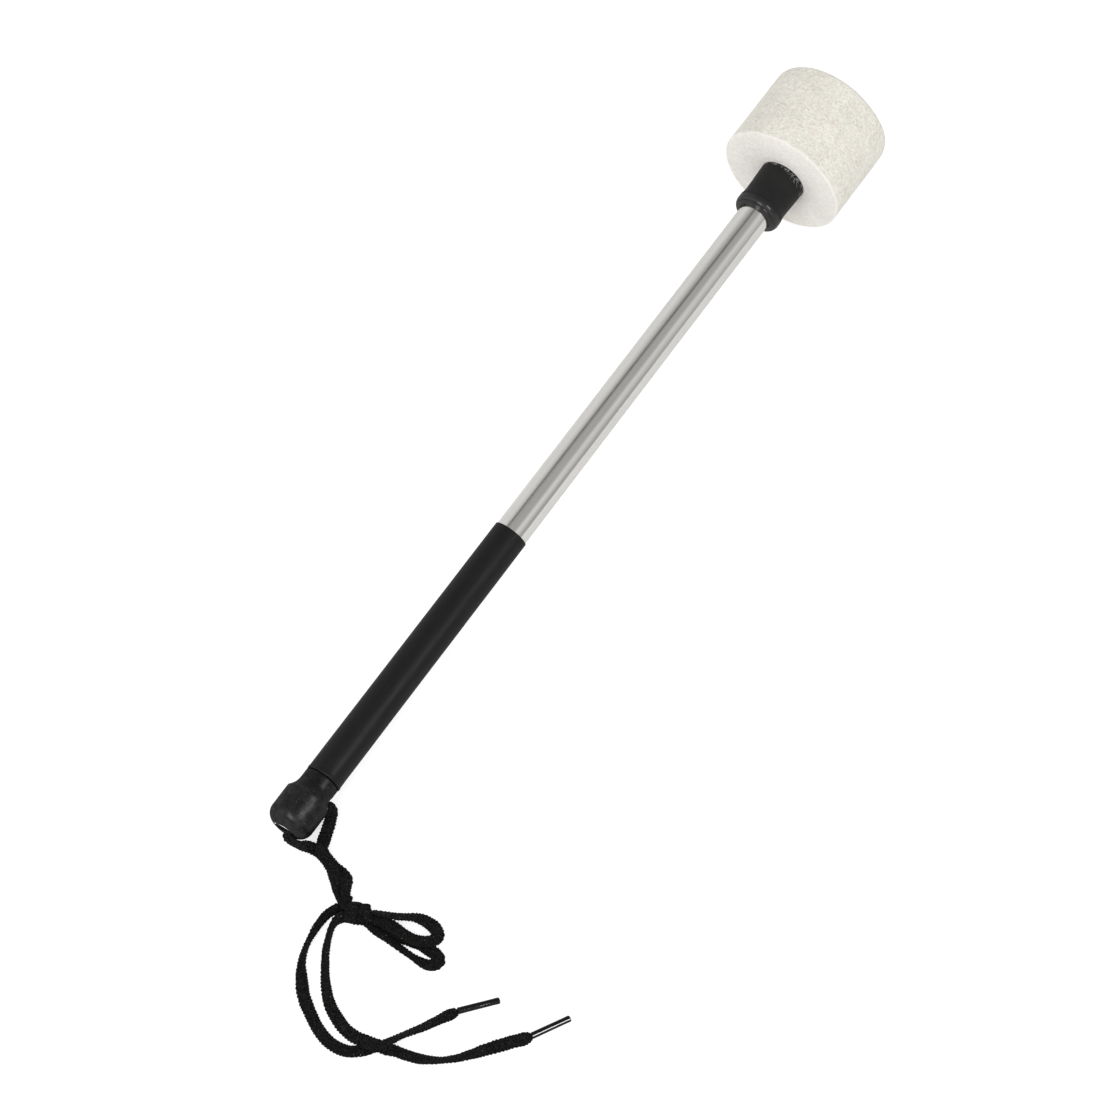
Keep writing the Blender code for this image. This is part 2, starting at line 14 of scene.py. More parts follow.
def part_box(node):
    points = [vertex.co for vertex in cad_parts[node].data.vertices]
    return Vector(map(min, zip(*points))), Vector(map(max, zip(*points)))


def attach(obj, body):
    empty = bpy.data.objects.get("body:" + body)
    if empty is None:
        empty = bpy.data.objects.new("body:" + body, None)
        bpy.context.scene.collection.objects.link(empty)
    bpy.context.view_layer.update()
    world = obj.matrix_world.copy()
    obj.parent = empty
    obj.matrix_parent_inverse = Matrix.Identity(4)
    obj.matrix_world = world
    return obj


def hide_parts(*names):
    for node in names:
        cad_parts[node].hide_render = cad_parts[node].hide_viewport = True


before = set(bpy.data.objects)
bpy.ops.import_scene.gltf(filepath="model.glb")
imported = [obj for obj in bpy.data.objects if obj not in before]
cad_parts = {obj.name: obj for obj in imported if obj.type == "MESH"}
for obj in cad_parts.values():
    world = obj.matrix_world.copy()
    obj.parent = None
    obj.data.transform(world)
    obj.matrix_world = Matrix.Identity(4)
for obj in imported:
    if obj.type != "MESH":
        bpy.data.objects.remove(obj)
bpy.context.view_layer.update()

# Clearances: a slide fit, and room where two pieces only face each other
FIT = 0.0001
GAP = 0.0003

# Stations of the turned pieces
CAP_BULB_END = 0.0138
CAP_TOP = 0.0224
CAP_STEM_END = CAP_TOP + 0.016
TUBE_START = 0.0227
GRIP_TOP = 0.1397
FERRULE_START = 0.3049
HEAD_START = 0.3247
FERRULE_TOP = 0.3367
TUBE_END = 0.3552
HEAD_END = 0.3623

# Radii, and the rounds and depths of edges
TUBE_RADIUS = 0.00635
TUBE_BORE = 0.00515
TUBE_END_EASE = 0.00012
GRIP_RADIUS = 0.00675
GRIP_BORE = 0.00645
BULB_RADIUS = 0.00865
BULB_ROUND = 0.0046
NECK_RADIUS = 0.0067
STEM_RADIUS = 0.00505
FERRULE_RADIUS = 0.0094
LIP_ROUND = 0.0028
LIP_CENTRE_RADIUS = 0.0067
HEAD_RADIUS = 0.0252
HEAD_NEAR_EDGE = 0.0006
HEAD_FAR_EDGE = 0.0028
HEAD_WORN_EDGE = 0.0023
DISH_DEPTH = 0.0008
COUNTERBORE_RADIUS = 0.0118
COUNTERBORE_FLOOR = 0.3577

# The lace's holes in the cap: the end hole's upper half is pressed down by a share, and the side hole drops
LACE_HOLE_RADIUS = 0.0038
HOLE_PRESSED = 0.66
SIDE_HOLE_RADIUS = 0.0027
SIDE_HOLE_STATION = 0.0167
SIDE_HOLE_DROP = math.radians(25)

# The felt's skin: how far its wall stands proud and swells, its far face's lean and dent, lumps and ripples
FELT_PROUD = 0.00012
FELT_SWELL = 0.00036
FELT_LEAN = 0.00050
FELT_DENT = 0.00045
FELT_LUMP = 0.00005
FELT_RIPPLE = 0.000022

# The mallet's axis: the bulb and the head's near edge rest on the table
TILT = math.atan2(HEAD_RADIUS - BULB_RADIUS, HEAD_START + HEAD_NEAR_EDGE - BULB_ROUND)
AXIS_HEIGHT = BULB_RADIUS * math.cos(TILT) - BULB_ROUND * math.sin(TILT)
CAP_END_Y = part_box("felt_head")[1].y - HEAD_END * math.cos(TILT)
CAP_END_Y -= (HEAD_RADIUS - HEAD_FAR_EDGE) * math.sin(TILT)

# Lace: the step between its mesh's rows and how many are tucked into the aglet, its braid, and the relief of
# its edges and faces as shares of its sizes
LACE_WIDTH = 0.0046
LACE_THICKNESS = 0.0012
LACE_GIRTH = 2 * (LACE_WIDTH + LACE_THICKNESS)
LACE_ROW = 0.00024
TUCKED_ROWS = 5
BRAID_STITCH = 0.00105
BRAID_COLUMN = 0.00064
PICOT_DEPTH = 0.072
FACE_DEPTH = 0.30
SIDE_LACE_SEED, END_LACE_SEED, FIRST_TURN_SEED, SECOND_TURN_SEED = 10, 11, 40, 43

# Aglets: the height of their line over the table, and the seam's angle from their left side in degrees
AGLET_RADIUS = 0.00121
AGLET_HEIGHT = AGLET_RADIUS + 0.00012
AGLET_SEAM = 122

# Colours: pairs from dark to light, and the lint on the lace
FELT_WALL = ((0.50, 0.48, 0.405), (0.815, 0.80, 0.725))
FELT_BLUSH = ((0.535, 0.47, 0.425), (0.825, 0.765, 0.725))
FELT_FACE = ((0.655, 0.63, 0.59), (0.785, 0.765, 0.72))
DRAWN_ALUMINIUM = ((0.765, 0.748, 0.716), (0.865, 0.847, 0.81))
ZINC_PLATE = ((0.50, 0.49, 0.47), (0.72, 0.72, 0.72))
BLACKENED_STEEL = ((0.10, 0.10, 0.10), (0.22, 0.22, 0.23))
BEECH = ((0.42, 0.27, 0.14), (0.66, 0.48, 0.30))
LINT = (0.45, 0.44, 0.42)

# Camera and light: the camera's y is from the cap's end, and the room's panels are stops from left to right
CAMERA_RIGHT = (0.82800, 0.56073, 0.0)
CAMERA_UP = (-0.48276, 0.71286, 0.50870)
CAMERA_PLACE = (0.3497, -0.351457, 1.02398)
CAMERA_LENS = 105.5
LAMPS_AIM = (0.0, -0.1, 0.02)
SWEEP_HALF_SIDE = 3.0
ROOM_LIGHT = 0.86
FRONT_LIGHT = 0.62
ROOM_PANELS = (
    (0.00, 0.90), (0.06, 0.90), (0.14, 0.82), (0.25, 0.58), (0.35, 0.48), (0.43, 0.46), (0.50, 0.50),
    (0.60, 0.49), (0.67, 0.48), (0.75, 0.60), (0.79, 0.78), (0.85, 0.78), (0.89, 0.72), (0.925, 0.62),
    (0.95, 0.46), (1.00, 0.52),
)

# The lace's routes, one row for each point: x and y from the cap's end in tenths of a millimetre, lift above
# the table in hundredths, and lean in degrees. A positive lean raises the right edge.
ROUTE_UNITS = (1e-4, 1e-4, 1e-5, 1.0)
LEAST_LIFT = 0.00005
IN_CAP = (
    (66, 167, 420, -88), (38, 167, 550, -90), (14, 152, 660, -90), (3, 120, 670, -90), (2, 80, 630, -80),
    (4, 35, 545, -64), (9, 13, 470, -52),
)
END_STRAND = (
    (16, -4, 395, -46), (31, -9, 265, -66), (47, -6, 150, -81), (63, 1, 80, -78), (79, 11, 30, -56),
    (101, 20, 5, -34), (127, 25, 5, -14), (162, 18, 5, 0), (188, 10, 20, 0), (212, 4, 40, 0),
    (240, 1, 70, 2), (266, -8, 90, 18), (286, -30, 80, 48), (304, -61, 50, 54), (327, -86, 40, 56),
    (352, -103, 30, 60), (380, -105, 20, 60),
)
LOWER_LOOP = (
    (411, -102, 10, 54), (452, -108, 5, 35), (500, -111, 5, 37), (545, -114, 5, 42), (594, -118, 5, 48),
    (632, -119, 5, 45), (664, -117, 5, 30), (689, -111, 5, 14), (704, -97, 5, 2), (709, -80, 5, -4),
    (698, -67, 5, 4), (667, -63, 5, 8), (622, -62, 5, 4), (583, -70, 5, 3), (541, -80, 5, 3),
    (493, -86, 5, 3), (447, -88, 5, 4), (408, -96, 20, 14), (382, -113, 30, 46),
)
INNER_TAIL = (
    (358, -126, 30, 56), (341, -140, 20, 60), (333, -161, 10, 72), (336, -186, 5, 79), (345, -214, 5, 75),
    (359, -245, 5, 72), (376, -278, 5, 66), (400, -313, 5, 60), (427, -349, 5, 54), (451, -377, 5, 42),
    (477, -403, 5, 33), (505, -424, 5, 20), (538, -441, 5, 4), (576, -456, 15, -6), (615, -465, 40, -8),
    (654, -466, 120, -10), (690, -461, 190, -10), (723, -453, 220, -8), (753, -443, 200, 0),
    (782, -433, 130, 12), (811, -424, 60, 18), (841, -415, 15, 20), (867, -405, 5, 25), (895, -392, 5, 35),
    (927, -371, 5, 44), (955, -347, 5, 41), (980, -319, 5, 34), (1004, -287, 5, 22), (1023, -260, 5, 12),
    (1042, -234, 5, 2), (1062, -209, 5, -10), (1082, -185, 5, -12), (1102, -161, 5, -8),
    (1129, -126, 15, 0),
)
SIDE_STRAND = (
    (50, 167, 520, 76), (69, 172, 430, 48), (84, 163, 330, 34), (93, 142, 200, 28), (102, 114, 140, 16),
    (113, 79, 130, 8), (123, 53, 160, 20), (134, 34, 190, 32), (150, 20, 200, 8), (178, 8, 200, -5),
    (212, -9, 210, -6), (239, -32, 210, -4), (268, -55, 190, 2), (305, -83, 160, 28), (336, -101, 150, 48),
    (370, -98, 160, 60), (402, -80, 180, 64),
)
UPPER_LOOP = (
    (428, -65, 200, 58), (468, -48, 200, 46), (500, -34, 200, 39), (528, -17, 200, 37), (556, 1, 180, 26),
    (589, 12, 170, 8), (621, 12, 160, -6), (645, 3, 170, -8), (658, -10, 180, 0), (657, -30, 200, -5),
    (644, -45, 210, -10), (626, -59, 220, -12), (597, -69, 220, -14), (558, -73, 220, -14),
    (518, -70, 220, -10), (477, -72, 220, -3), (436, -80, 210, 0), (400, -92, 160, 10),
    (362, -101, 100, 40),
)
OUTER_TAIL = (
    (326, -107, 30, 54), (306, -128, 20, 66), (295, -154, 10, 70), (291, -188, 5, 70), (293, -228, 5, 76),
    (300, -271, 5, 84), (313, -317, 5, 77), (331, -355, 5, 61), (354, -388, 5, 35), (378, -417, 5, 15),
    (405, -443, 5, 8), (440, -469, 5, 12), (477, -492, 5, 16), (512, -510, 5, 13), (547, -523, 5, 9),
    (583, -529, 5, 8), (618, -527, 5, 6), (649, -517, 5, 8), (672, -502, 5, 10), (694, -481, 5, 16),
    (715, -455, 5, 24), (734, -429, 5, 34), (749, -404, 5, 43), (764, -377, 5, 47), (784, -345, 5, 42),
    (806, -311, 5, 36), (823, -279, 5, 32), (839, -248, 5, 24), (854, -220, 5, 14), (869, -194, 15, 8),
)
OUTER_AGLET_TIP = (0.0966, -0.0081)
INNER_AGLET_TIP = (0.1201, 0.0)
BOW_KNOT_ENDS = ((0.0342, -0.0116), (0.0416, -0.0072))
PINCH_ENDS = ((0.0322, -0.0054), (0.0331, -0.0089))


def full_turn(count):
    """Even angles round a full turn."""
    return np.linspace(0.0, 2 * math.pi, count, endpoint=False)


def ease_off(value, full, none):
    """A share that goes smoothly from one at a first value to zero at a second, as t * t * (3 - 2 t)."""
    t = np.clip((none - value) / (none - full), 0.0, 1.0)
    return t * t * (3 - 2 * t)


def bell(value, middle, width):
    """A bell curve: one at its middle, as exp(-((value - middle) / width) squared)."""
    return np.exp(-(((value - middle) / width) ** 2))


def blunt(value, power):
    """A share of one raised to a power under one, with its sign kept: it makes an ellipse fuller."""
    return np.sign(value) * np.abs(value) ** power


def unit(rows):
    """Rows scaled to a length of one."""
    return rows / np.linalg.norm(rows, axis=1)[:, None]


def run_along(points):
    """The distance from the first point to each, along the row of points."""
    return np.concatenate([[0.0], np.cumsum(np.linalg.norm(np.diff(points, axis=0), axis=1))])


def draw_columns(random, count, *ranges):
    """A column of random numbers for each range, drawn in order."""
    return [random.uniform(low, high, (count, 1)) for low, high in ranges]


def lump_sum(seed, count, lowest, highest, fan=2 * math.pi):
    """A smooth random field on (around, along): a sum of plane waves with random phases.

    Each wave adds cos(frequency * distance in its own direction + phase), with directions in a fan."""
    random = np.random.default_rng(seed)
    frequency = random.uniform(lowest, highest, count)
    turn = random.uniform(0, fan, count)
    phase = random.uniform(0, 2 * math.pi, count)

    def field(around, along):
        total = np.zeros(np.broadcast(around, along).shape)
        for f, t, p in zip(frequency, turn, phase):
            total = total + np.cos(f * (around * math.cos(t) + along * math.sin(t)) + p)
        return total / math.sqrt(count)

    return field


def on_axis(across, down, station):
    """World points from the axis frame: across is +X, down is away from the sky, station is as above."""
    across, down, station = np.broadcast_arrays(across, down, station)
    s, c = math.sin(TILT), math.cos(TILT)
    y = CAP_END_Y + station * c + down * s
    z = AXIS_HEIGHT + station * s - down * c
    return np.stack([across, y, z], axis=-1)


def grid_mesh(name, points, wrap_rows=False, wrap_columns=False, caps=False, uv=None):
    """A mesh from a grid of points: quads between neighbours, and a flat cap on each open end row.

    The map is a pair of arrays, metres along and round, that spread over the grid."""
    rows, columns = points.shape[:2]
    index = np.arange(rows * columns).reshape(rows, columns)
    a = index if wrap_rows else index[:-1]
    b = np.roll(index, -1, axis=0) if wrap_rows else index[1:]
    if wrap_columns:
        a, b = np.hstack([a, a[:, :1]]), np.hstack([b, b[:, :1]])
    faces = np.stack([a[:, :-1], a[:, 1:], b[:, 1:], b[:, :-1]], axis=-1).reshape(-1, 4).tolist()
    if caps:
        faces += [index[0][::-1].tolist(), index[-1].tolist()]
    mesh = bpy.data.meshes.new(name)
    mesh.from_pydata(points.reshape(-1, 3).tolist(), [], faces)
    if uv is not None:
        corners = np.empty(len(mesh.loops), np.int32)
        mesh.loops.foreach_get("vertex_index", corners)
        layer = mesh.uv_layers.new(name="along_and_round")
        pairs = np.stack(np.broadcast_arrays(*uv), axis=-1).reshape(-1, 2)
        layer.data.foreach_set("uv", pairs[corners].astype(np.float32).ravel())
    mesh.shade_smooth()
    faces_outward(mesh)
    return mesh


def faces_outward(mesh):
    """Turns a closed mesh right side out when its signed volume, the sum of its tetrahedra, is negative."""
    mesh.calc_loop_triangles()
    points = np.empty(len(mesh.vertices) * 3)
    mesh.vertices.foreach_get("co", points)
    corners = np.empty(len(mesh.loop_triangles) * 3, np.int32)
    mesh.loop_triangles.foreach_get("vertices", corners)
    a, b, c = (points.reshape(-1, 3)[corners.reshape(-1, 3)[:, k]] for k in range(3))
    if np.einsum("ij,ij->i", a, np.cross(b, c)).sum() < 0:
        mesh.flip_normals()


def strips_mesh(name, left, right):
    """Thin strips between two sets of edge rows, each set as strips by points along them by three."""
    count, steps = left.shape[:2]
    points = np.stack([left, right], axis=2)
    start = 2 * steps * np.arange(count)[:, None, None] + 2 * np.arange(steps - 1)[None, :, None]
    quads = (start + np.array([0, 1, 3, 2])[None, None, :]).reshape(-1, 4)
    mesh = bpy.data.meshes.new(name)
    mesh.from_pydata(points.reshape(-1, 3).tolist(), [], quads.tolist())
    mesh.shade_smooth()
    return mesh


def add_object(name, data):
    """A new object in the scene that holds a mesh, a lamp or a camera."""
    obj = bpy.data.objects.new(name, data)
    bpy.context.scene.collection.objects.link(obj)
    return obj


def add_piece(mesh, material, *replaced, slot):
    """Links a finished mesh as a piece of the mallet, in the place of the CAD nodes that it stands for."""
    obj = add_object(mesh.name, mesh)
    mesh.materials.append(material)
    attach(obj, "root")
    if replaced:
        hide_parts(*replaced)
    return obj


def arc(centre_r, centre_s, radius, start, end, steps):
    """Points of a round stretch of a profile, rows of radius and station, between two angles in degrees."""
    angle = np.radians(np.linspace(start, end, steps + 1))
    return np.column_stack([centre_r + radius * np.cos(angle), centre_s + radius * np.sin(angle)])


def fine_profile(corners, step, closed=True):
    """A profile with points added so that none lie further apart than a step, for even shading."""
    out = []
    for start, end in zip(corners, np.roll(corners, -1, axis=0) if closed else corners[1:]):
        count = max(1, int(np.ceil(np.linalg.norm(end - start) / step)))
        out.append(start + (end - start) * np.arange(count)[:, None] / count)
    return np.vstack(out if closed else out + [corners[-1:]])


def turned_mesh(name, profile, sides, ruffle=None):
    """A closed ring of a profile turned about the axis: across = r cos a, down = r sin a, at each station.

    A ruffle is a function of radius, station and angle that gives a change of radius and of station."""
    r, s, a = np.broadcast_arrays(profile[:, 0, None], profile[:, 1, None], full_turn(sides)[None, :])
    if ruffle is not None:
        change_r, change_s = ruffle(r, s, a)
        r, s = r + change_r, s + change_s
    mesh = grid_mesh(name, on_axis(r * np.cos(a), r * np.sin(a), s), wrap_rows=True, wrap_columns=True)
    mesh.set_sharp_from_angle(angle=math.radians(40))
    return mesh


def head_profile():
    """The felt head's section: worn far edge, crisp near edge, near face dished by a cube of its share."""
    far, edge = HEAD_WORN_EDGE, HEAD_NEAR_EDGE
    ferrule_bore, tube_bore = FERRULE_RADIUS + FIT, TUBE_RADIUS + FIT
    dish_r = np.linspace(HEAD_RADIUS - edge, ferrule_bore, 24)
    share = (HEAD_RADIUS - edge - dish_r) / (HEAD_RADIUS - edge - ferrule_bore)
    corners = np.vstack([
        [[COUNTERBORE_RADIUS + 0.0004, HEAD_END]],
        arc(HEAD_RADIUS - far, HEAD_END - far, far, 90, 0, 14),
        arc(HEAD_RADIUS - edge, HEAD_START + edge, edge, 0, -90, 6),
        np.column_stack([dish_r, HEAD_START + DISH_DEPTH * share**3]),
        [[ferrule_bore, FERRULE_TOP + GAP], [tube_bore, FERRULE_TOP + GAP]],
        [[tube_bore, COUNTERBORE_FLOOR], [COUNTERBORE_RADIUS, COUNTERBORE_FLOOR]],
        [[COUNTERBORE_RADIUS, HEAD_END - 0.0005]],
    ])
    return fine_profile(corners, step=0.0009)


def make_felt_head(material):
    """Pressed felt: a turned solid whose skin swells and sinks a little, with finer ripples on top.

    The wall moves by lumps + ripples + a swell that is a cosine of the angle. The far face moves by lumps +
    ripples, and leans by a cosine less one bell-shaped dent. Two copies of each field are blended round the
    turn, so that it closes without a seam."""
    broad = lump_sum(seed=3, count=14, lowest=150, highest=500)
    fine = lump_sum(seed=4, count=40, lowest=1500, highest=4200)

    def closed(field, around, s, blend):
        return (1 - blend) * field(around, s) + blend * field(around + 0.4, s)

    def ruffle(r, s, a):
        blend = np.sin(a / 2) ** 2
        skin = FELT_LUMP * closed(broad, r * a, s, blend) + FELT_RIPPLE * closed(fine, r * a, s, blend)
        outside = np.clip((r - 0.0125) / 0.004, 0, 1)
        on_wall = np.clip((r - HEAD_RADIUS + 0.0012) / 0.0012, 0, 1)
        on_far_face = (s > HEAD_END - 0.004) * (1 - on_wall)
        swell = FELT_PROUD + FELT_SWELL * np.cos(a - 3.6)
        lean = FELT_LEAN * np.cos(a - 3.95) - FELT_DENT * bell(a, 5.5, 0.4)
        lean = outside * lean * ease_off(HEAD_END - s, 0.001, 0.009)
        return outside * (skin + swell) * on_wall, (outside * skin - 0.00003) * on_far_face + lean

    mesh = turned_mesh("felt_head_skin", head_profile(), sides=360, ruffle=ruffle)
    return add_piece(mesh, material, "felt_head", slot="felt")


def make_felt_fibres(material, count=1500, seed=11):
    """Loose wool fibres on the head's skin: each a thin bent strip that lifts off the felt.

    A fibre walks in even steps whose heading turns by its bend, and lifts by a half wave along it."""
    turn, wall = (0, 2 * math.pi), (HEAD_START + 0.0005, HEAD_END - 0.003)
    angle, chance, on_wall_at, on_face_at, length, width, heading, lift, bend = draw_columns(
        np.random.default_rng(seed), count, turn, (0, 1), wall, (0.0098**2, 0.0248**2), (0.0008, 0.0026),
        (0.00002, 0.000035), turn, (0.00004, 0.00016), (-1.4, 1.4),
    )
    on_wall = chance < 0.62
    station = np.where(on_wall, on_wall_at, HEAD_START)
    radius = np.where(on_wall, HEAD_RADIUS, np.sqrt(on_face_at))
    steps = np.linspace(0.0, 1.0, 6)[None, :]
    direction = heading + bend * steps
    walk_a = np.cumsum(np.cos(direction), axis=1) * (length / 6)
    walk_s = np.cumsum(np.sin(direction), axis=1) * (length / 6)
    height = lift * np.sin(math.pi * steps)
    edges = []
    for side in (-width, width):
        move_a, move_s = walk_a - side * np.sin(direction), walk_s + side * np.cos(direction)
        turned, above = angle + move_a / HEAD_RADIUS, radius + height
        wall = on_axis(above * np.cos(turned), above * np.sin(turned), station + move_s)
        across, down = radius * np.cos(angle) + move_a, radius * np.sin(angle) + move_s
        sunk = DISH_DEPTH * np.clip((HEAD_RADIUS - 0.0007 - np.hypot(across, down)) / 0.015, 0, 1) ** 3
        face = on_axis(across, down, station + sunk - height)
        edges.append(np.where(on_wall[:, :, None], wall, face))
    return add_piece(strips_mesh("felt_fibres", *edges), material, slot="felt")


def make_stray_hairs(material, count=44, seed=44):
    """Wool hairs slipped from the felt over the collar's upper end: curled strips just off the rubber.

    Each goes round by its sway and a small sine, and down from the felt and back by a sine of its reach.
    They are short fuzz on the left and grow longer towards the right."""
    random = np.random.default_rng(seed)
    sway, curl, long, lift, width = draw_columns(
        random, count, (-0.26, 0.26), (-3.2, 3.2), (0, 1), (0.00004, 0.00022), (0.000016, 0.000032),
    )
    place = np.linspace(0.0, 1.0, count)[:, None]
    start = np.radians(-165 + 181 * place + random.uniform(-4, 4, (count, 1)))
    long = long**2 * ease_off(1 - place, 0.45, 0.62)
    sway, reach = sway * (0.25 + 0.75 * long), 0.0002 + 0.0030 * long
    share = np.linspace(0.0, 1.0, 10)[None, :]
    angle = start + sway * share + 0.09 * np.sin(curl * share * 2)
    station = HEAD_START + 0.0006 - (0.0006 + reach) * np.sin(1.9 * share)
    radius = FERRULE_RADIUS + lift * (0.3 + share)
    step_a, step_s = np.gradient(angle, axis=1) * radius, np.gradient(station, axis=1)
    taper = width * (1 - 0.6 * share) / np.hypot(step_a, step_s)
    edges = []
    for side in (-taper, taper):
        turned = angle - side * step_s / radius
        edges.append(on_axis(radius * np.cos(turned), radius * np.sin(turned), station + side * step_a))
    return add_piece(strips_mesh("collar_stray_hairs", *edges), material, slot="felt")


def make_ferrule(material):
    """The rubber collar: straight where the felt grips it, a slight waist, and a rolled lip.

    The radius eases in to the waist and out again as t * t * (3 - 2 t). The lip is an arc, with two grooves
    as bell curves of the angle round it."""
    inner, bevel = TUBE_RADIUS + FIT, 0.0002
    drawn_in, to_waist = 0.00035, 0.0119
    swelling, to_lip = 0.00043, 0.0038
    way = np.linspace(0, 1, 16)[1:-1, None]
    ease = ease_off(way, 1, 0)
    centre = np.array([[LIP_CENTRE_RADIUS, FERRULE_START + LIP_ROUND]])
    rolled = arc(*centre[0], LIP_ROUND, 18, -90, 54)
    turn = np.degrees(np.arctan2(rolled[:, 1] - centre[0, 1], rolled[:, 0] - centre[0, 0]))
    depth = 0.00030 * bell(turn, -50, 5) + 0.00020 * bell(turn, -68, 4)
    corners = np.vstack([
        [[FERRULE_RADIUS, FERRULE_TOP], [FERRULE_RADIUS, HEAD_START]],
        np.hstack([FERRULE_RADIUS - drawn_in * ease, HEAD_START - to_waist * way]),
        np.hstack([FERRULE_RADIUS - drawn_in + swelling * ease, FERRULE_START + 2 * to_lip - to_lip * way]),
        rolled + (centre - rolled) / LIP_ROUND * depth[:, None],
        [[inner + bevel, FERRULE_START], [inner, FERRULE_START + bevel]],
        [[inner, FERRULE_TOP]],
    ])
    mesh = turned_mesh("ferrule_rubber", fine_profile(corners, step=0.0012), sides=160)
    return add_piece(mesh, material, "ferrule", slot="black_rubber")


def make_shaft(material):
    """The drawn tube with its bore, its far end slightly eased."""
    corners = np.array([
        [TUBE_RADIUS - TUBE_END_EASE, TUBE_END],
        [TUBE_RADIUS, TUBE_END - TUBE_END_EASE],
        [TUBE_RADIUS, TUBE_START],
        [TUBE_BORE, TUBE_START],
        [TUBE_BORE, TUBE_END],
    ])
    mesh = turned_mesh("shaft_drawn_tube", fine_profile(corners, step=0.006), sides=128)
    return add_piece(mesh, material, "shaft_tube", slot="shaft_aluminium")


def make_grip(material):
    """The shrink sleeve: its upper end slants, and its lower end gathers into folds and a thin lip.

    The skin moves by faint waves + folds that die away from the lower end + a bell-shaped lip. The slant is
    a cosine of the angle, let in by the eighth power of the way along the sleeve."""
    slant, short_side_at = math.radians(9), math.radians(-70)
    wave_height, fold_height, lip_height, tallest = 0.00002, 0.00009, 0.00016, 0.00030
    wave = lump_sum(seed=8, count=12, lowest=60, highest=260)
    folds = lump_sum(seed=9, count=8, lowest=900, highest=1600)

    def ruffle(r, s, a):
        cut = -GRIP_RADIUS * math.tan(slant) * np.cos(a - short_side_at)
        share = np.clip((s - TUBE_START) / (GRIP_TOP - TUBE_START), 0, 1)
        up = s - TUBE_START
        gathered = fold_height * bell(up, 0, 0.004) * folds(r * a, 0.2 * s)
        skin = wave_height * wave(GRIP_RADIUS * np.sin(a), s) + gathered
        lip = bell(up, 0.0007, 0.0004) * (1 + 0.5 * folds(r * a, 0 * s))
        outside = r > (GRIP_RADIUS + GRIP_BORE) / 2
        return np.where(outside, np.minimum(skin + lip_height * lip, tallest), 0.0), cut * share**8

    edge = 0.0001
    corners = np.array([
        [GRIP_RADIUS - edge, GRIP_TOP],
        [GRIP_RADIUS, GRIP_TOP - edge],
        [GRIP_RADIUS, TUBE_START + edge],
        [GRIP_RADIUS - edge, TUBE_START],
        [GRIP_BORE, TUBE_START],
        [GRIP_BORE, GRIP_TOP],
    ])
    mesh = turned_mesh("grip_shrink_sleeve", fine_profile(corners, step=0.0004), sides=144, ruffle=ruffle)
    return add_piece(mesh, material, "grip_sleeve", slot="grip_skin")


def cap_profile():
    """The end cap's section: stem, neck that flares to the bulb, rounded end and the lace's end hole."""
    hole_floor = SIDE_HOLE_STATION + SIDE_HOLE_RADIUS + GAP
    end, pole, lip, edge = 0.0001, 0.0002, 0.0004, 0.00022
    lead_in, lead_run, flare_from = 0.0006, 0.0024, 40
    flare = (BULB_RADIUS - NECK_RADIUS - 0.00015) / (1 - math.cos(math.radians(flare_from)))
    flare_foot = CAP_BULB_END + 0.0001 + flare * math.sin(math.radians(flare_from))
    return np.vstack([
        [[pole, CAP_STEM_END], [STEM_RADIUS - lead_in, CAP_STEM_END]],
        [[STEM_RADIUS, CAP_STEM_END - lead_run], [STEM_RADIUS, CAP_TOP]],
        arc(NECK_RADIUS - lip, CAP_TOP - lip, lip, 90, 0, 5),
        arc(NECK_RADIUS + flare, flare_foot, flare, 180, 180 + flare_from, 16),
        arc(BULB_RADIUS - edge, CAP_BULB_END - edge, edge, 80, 0, 4),
        arc(BULB_RADIUS - BULB_ROUND, end + BULB_ROUND, BULB_ROUND, 0, -90, 26),
        arc(LACE_HOLE_RADIUS + lip, end + lip, lip, 270, 180, 8),
        [[LACE_HOLE_RADIUS, hole_floor], [pole, hole_floor + 0.0013]],
    ])


def make_cap(material):
    """The moulded end cap: turned, its end hole's upper half pressed down, the lace's side hole cut through.

    Near the hole the height above the axis shrinks by a share that fades with radius, station and angle."""
    profile = fine_profile(cap_profile(), step=0.0012, closed=False)
    angle = full_turn(160)[None, :]
    radius, station = profile[:, :1], profile[:, 1:]
    by_hole = ease_off(radius, LACE_HOLE_RADIUS + 0.0006, 0.0078) * ease_off(station, 0.0045, 0.0085)
    pressed = 1 - HOLE_PRESSED * by_hole * (1 - ease_off(-np.sin(angle), 0.0, 0.6))
    points = on_axis(radius * np.cos(angle), radius * np.sin(angle) * pressed, station)
    cap = add_object("end_cap_rubber", grid_mesh("end_cap_rubber", points, wrap_columns=True, caps=True))

    depth = np.array([[0.0], [0.012]])
    turn = full_turn(64)[None, :]
    side, over = SIDE_HOLE_RADIUS * np.cos(turn), SIDE_HOLE_RADIUS * np.sin(turn)
    c, s = math.cos(SIDE_HOLE_DROP), math.sin(SIDE_HOLE_DROP)
    hole = on_axis(depth * c - side * s, depth * s + side * c, SIDE_HOLE_STATION + over)
    drill = add_object("side_hole_drill", grid_mesh("side_hole_drill", hole, wrap_columns=True, caps=True))
    boolean = cap.modifiers.new("Side hole", "BOOLEAN")
    boolean.operation = "DIFFERENCE"
    boolean.object = drill
    bpy.context.view_layer.update()
    graph = bpy.context.evaluated_depsgraph_get()
    drilled = bpy.data.meshes.new_from_object(cap.evaluated_get(graph))
    drilled.name = "end_cap_rubber"
    drilled.materials.clear()
    drilled.shade_smooth()
    drilled.set_sharp_from_angle(angle=math.radians(38))
    for spare in (cap, drill):
        bpy.data.objects.remove(spare, do_unlink=True)
    return add_piece(drilled, material, "end_cap", slot="black_rubber")


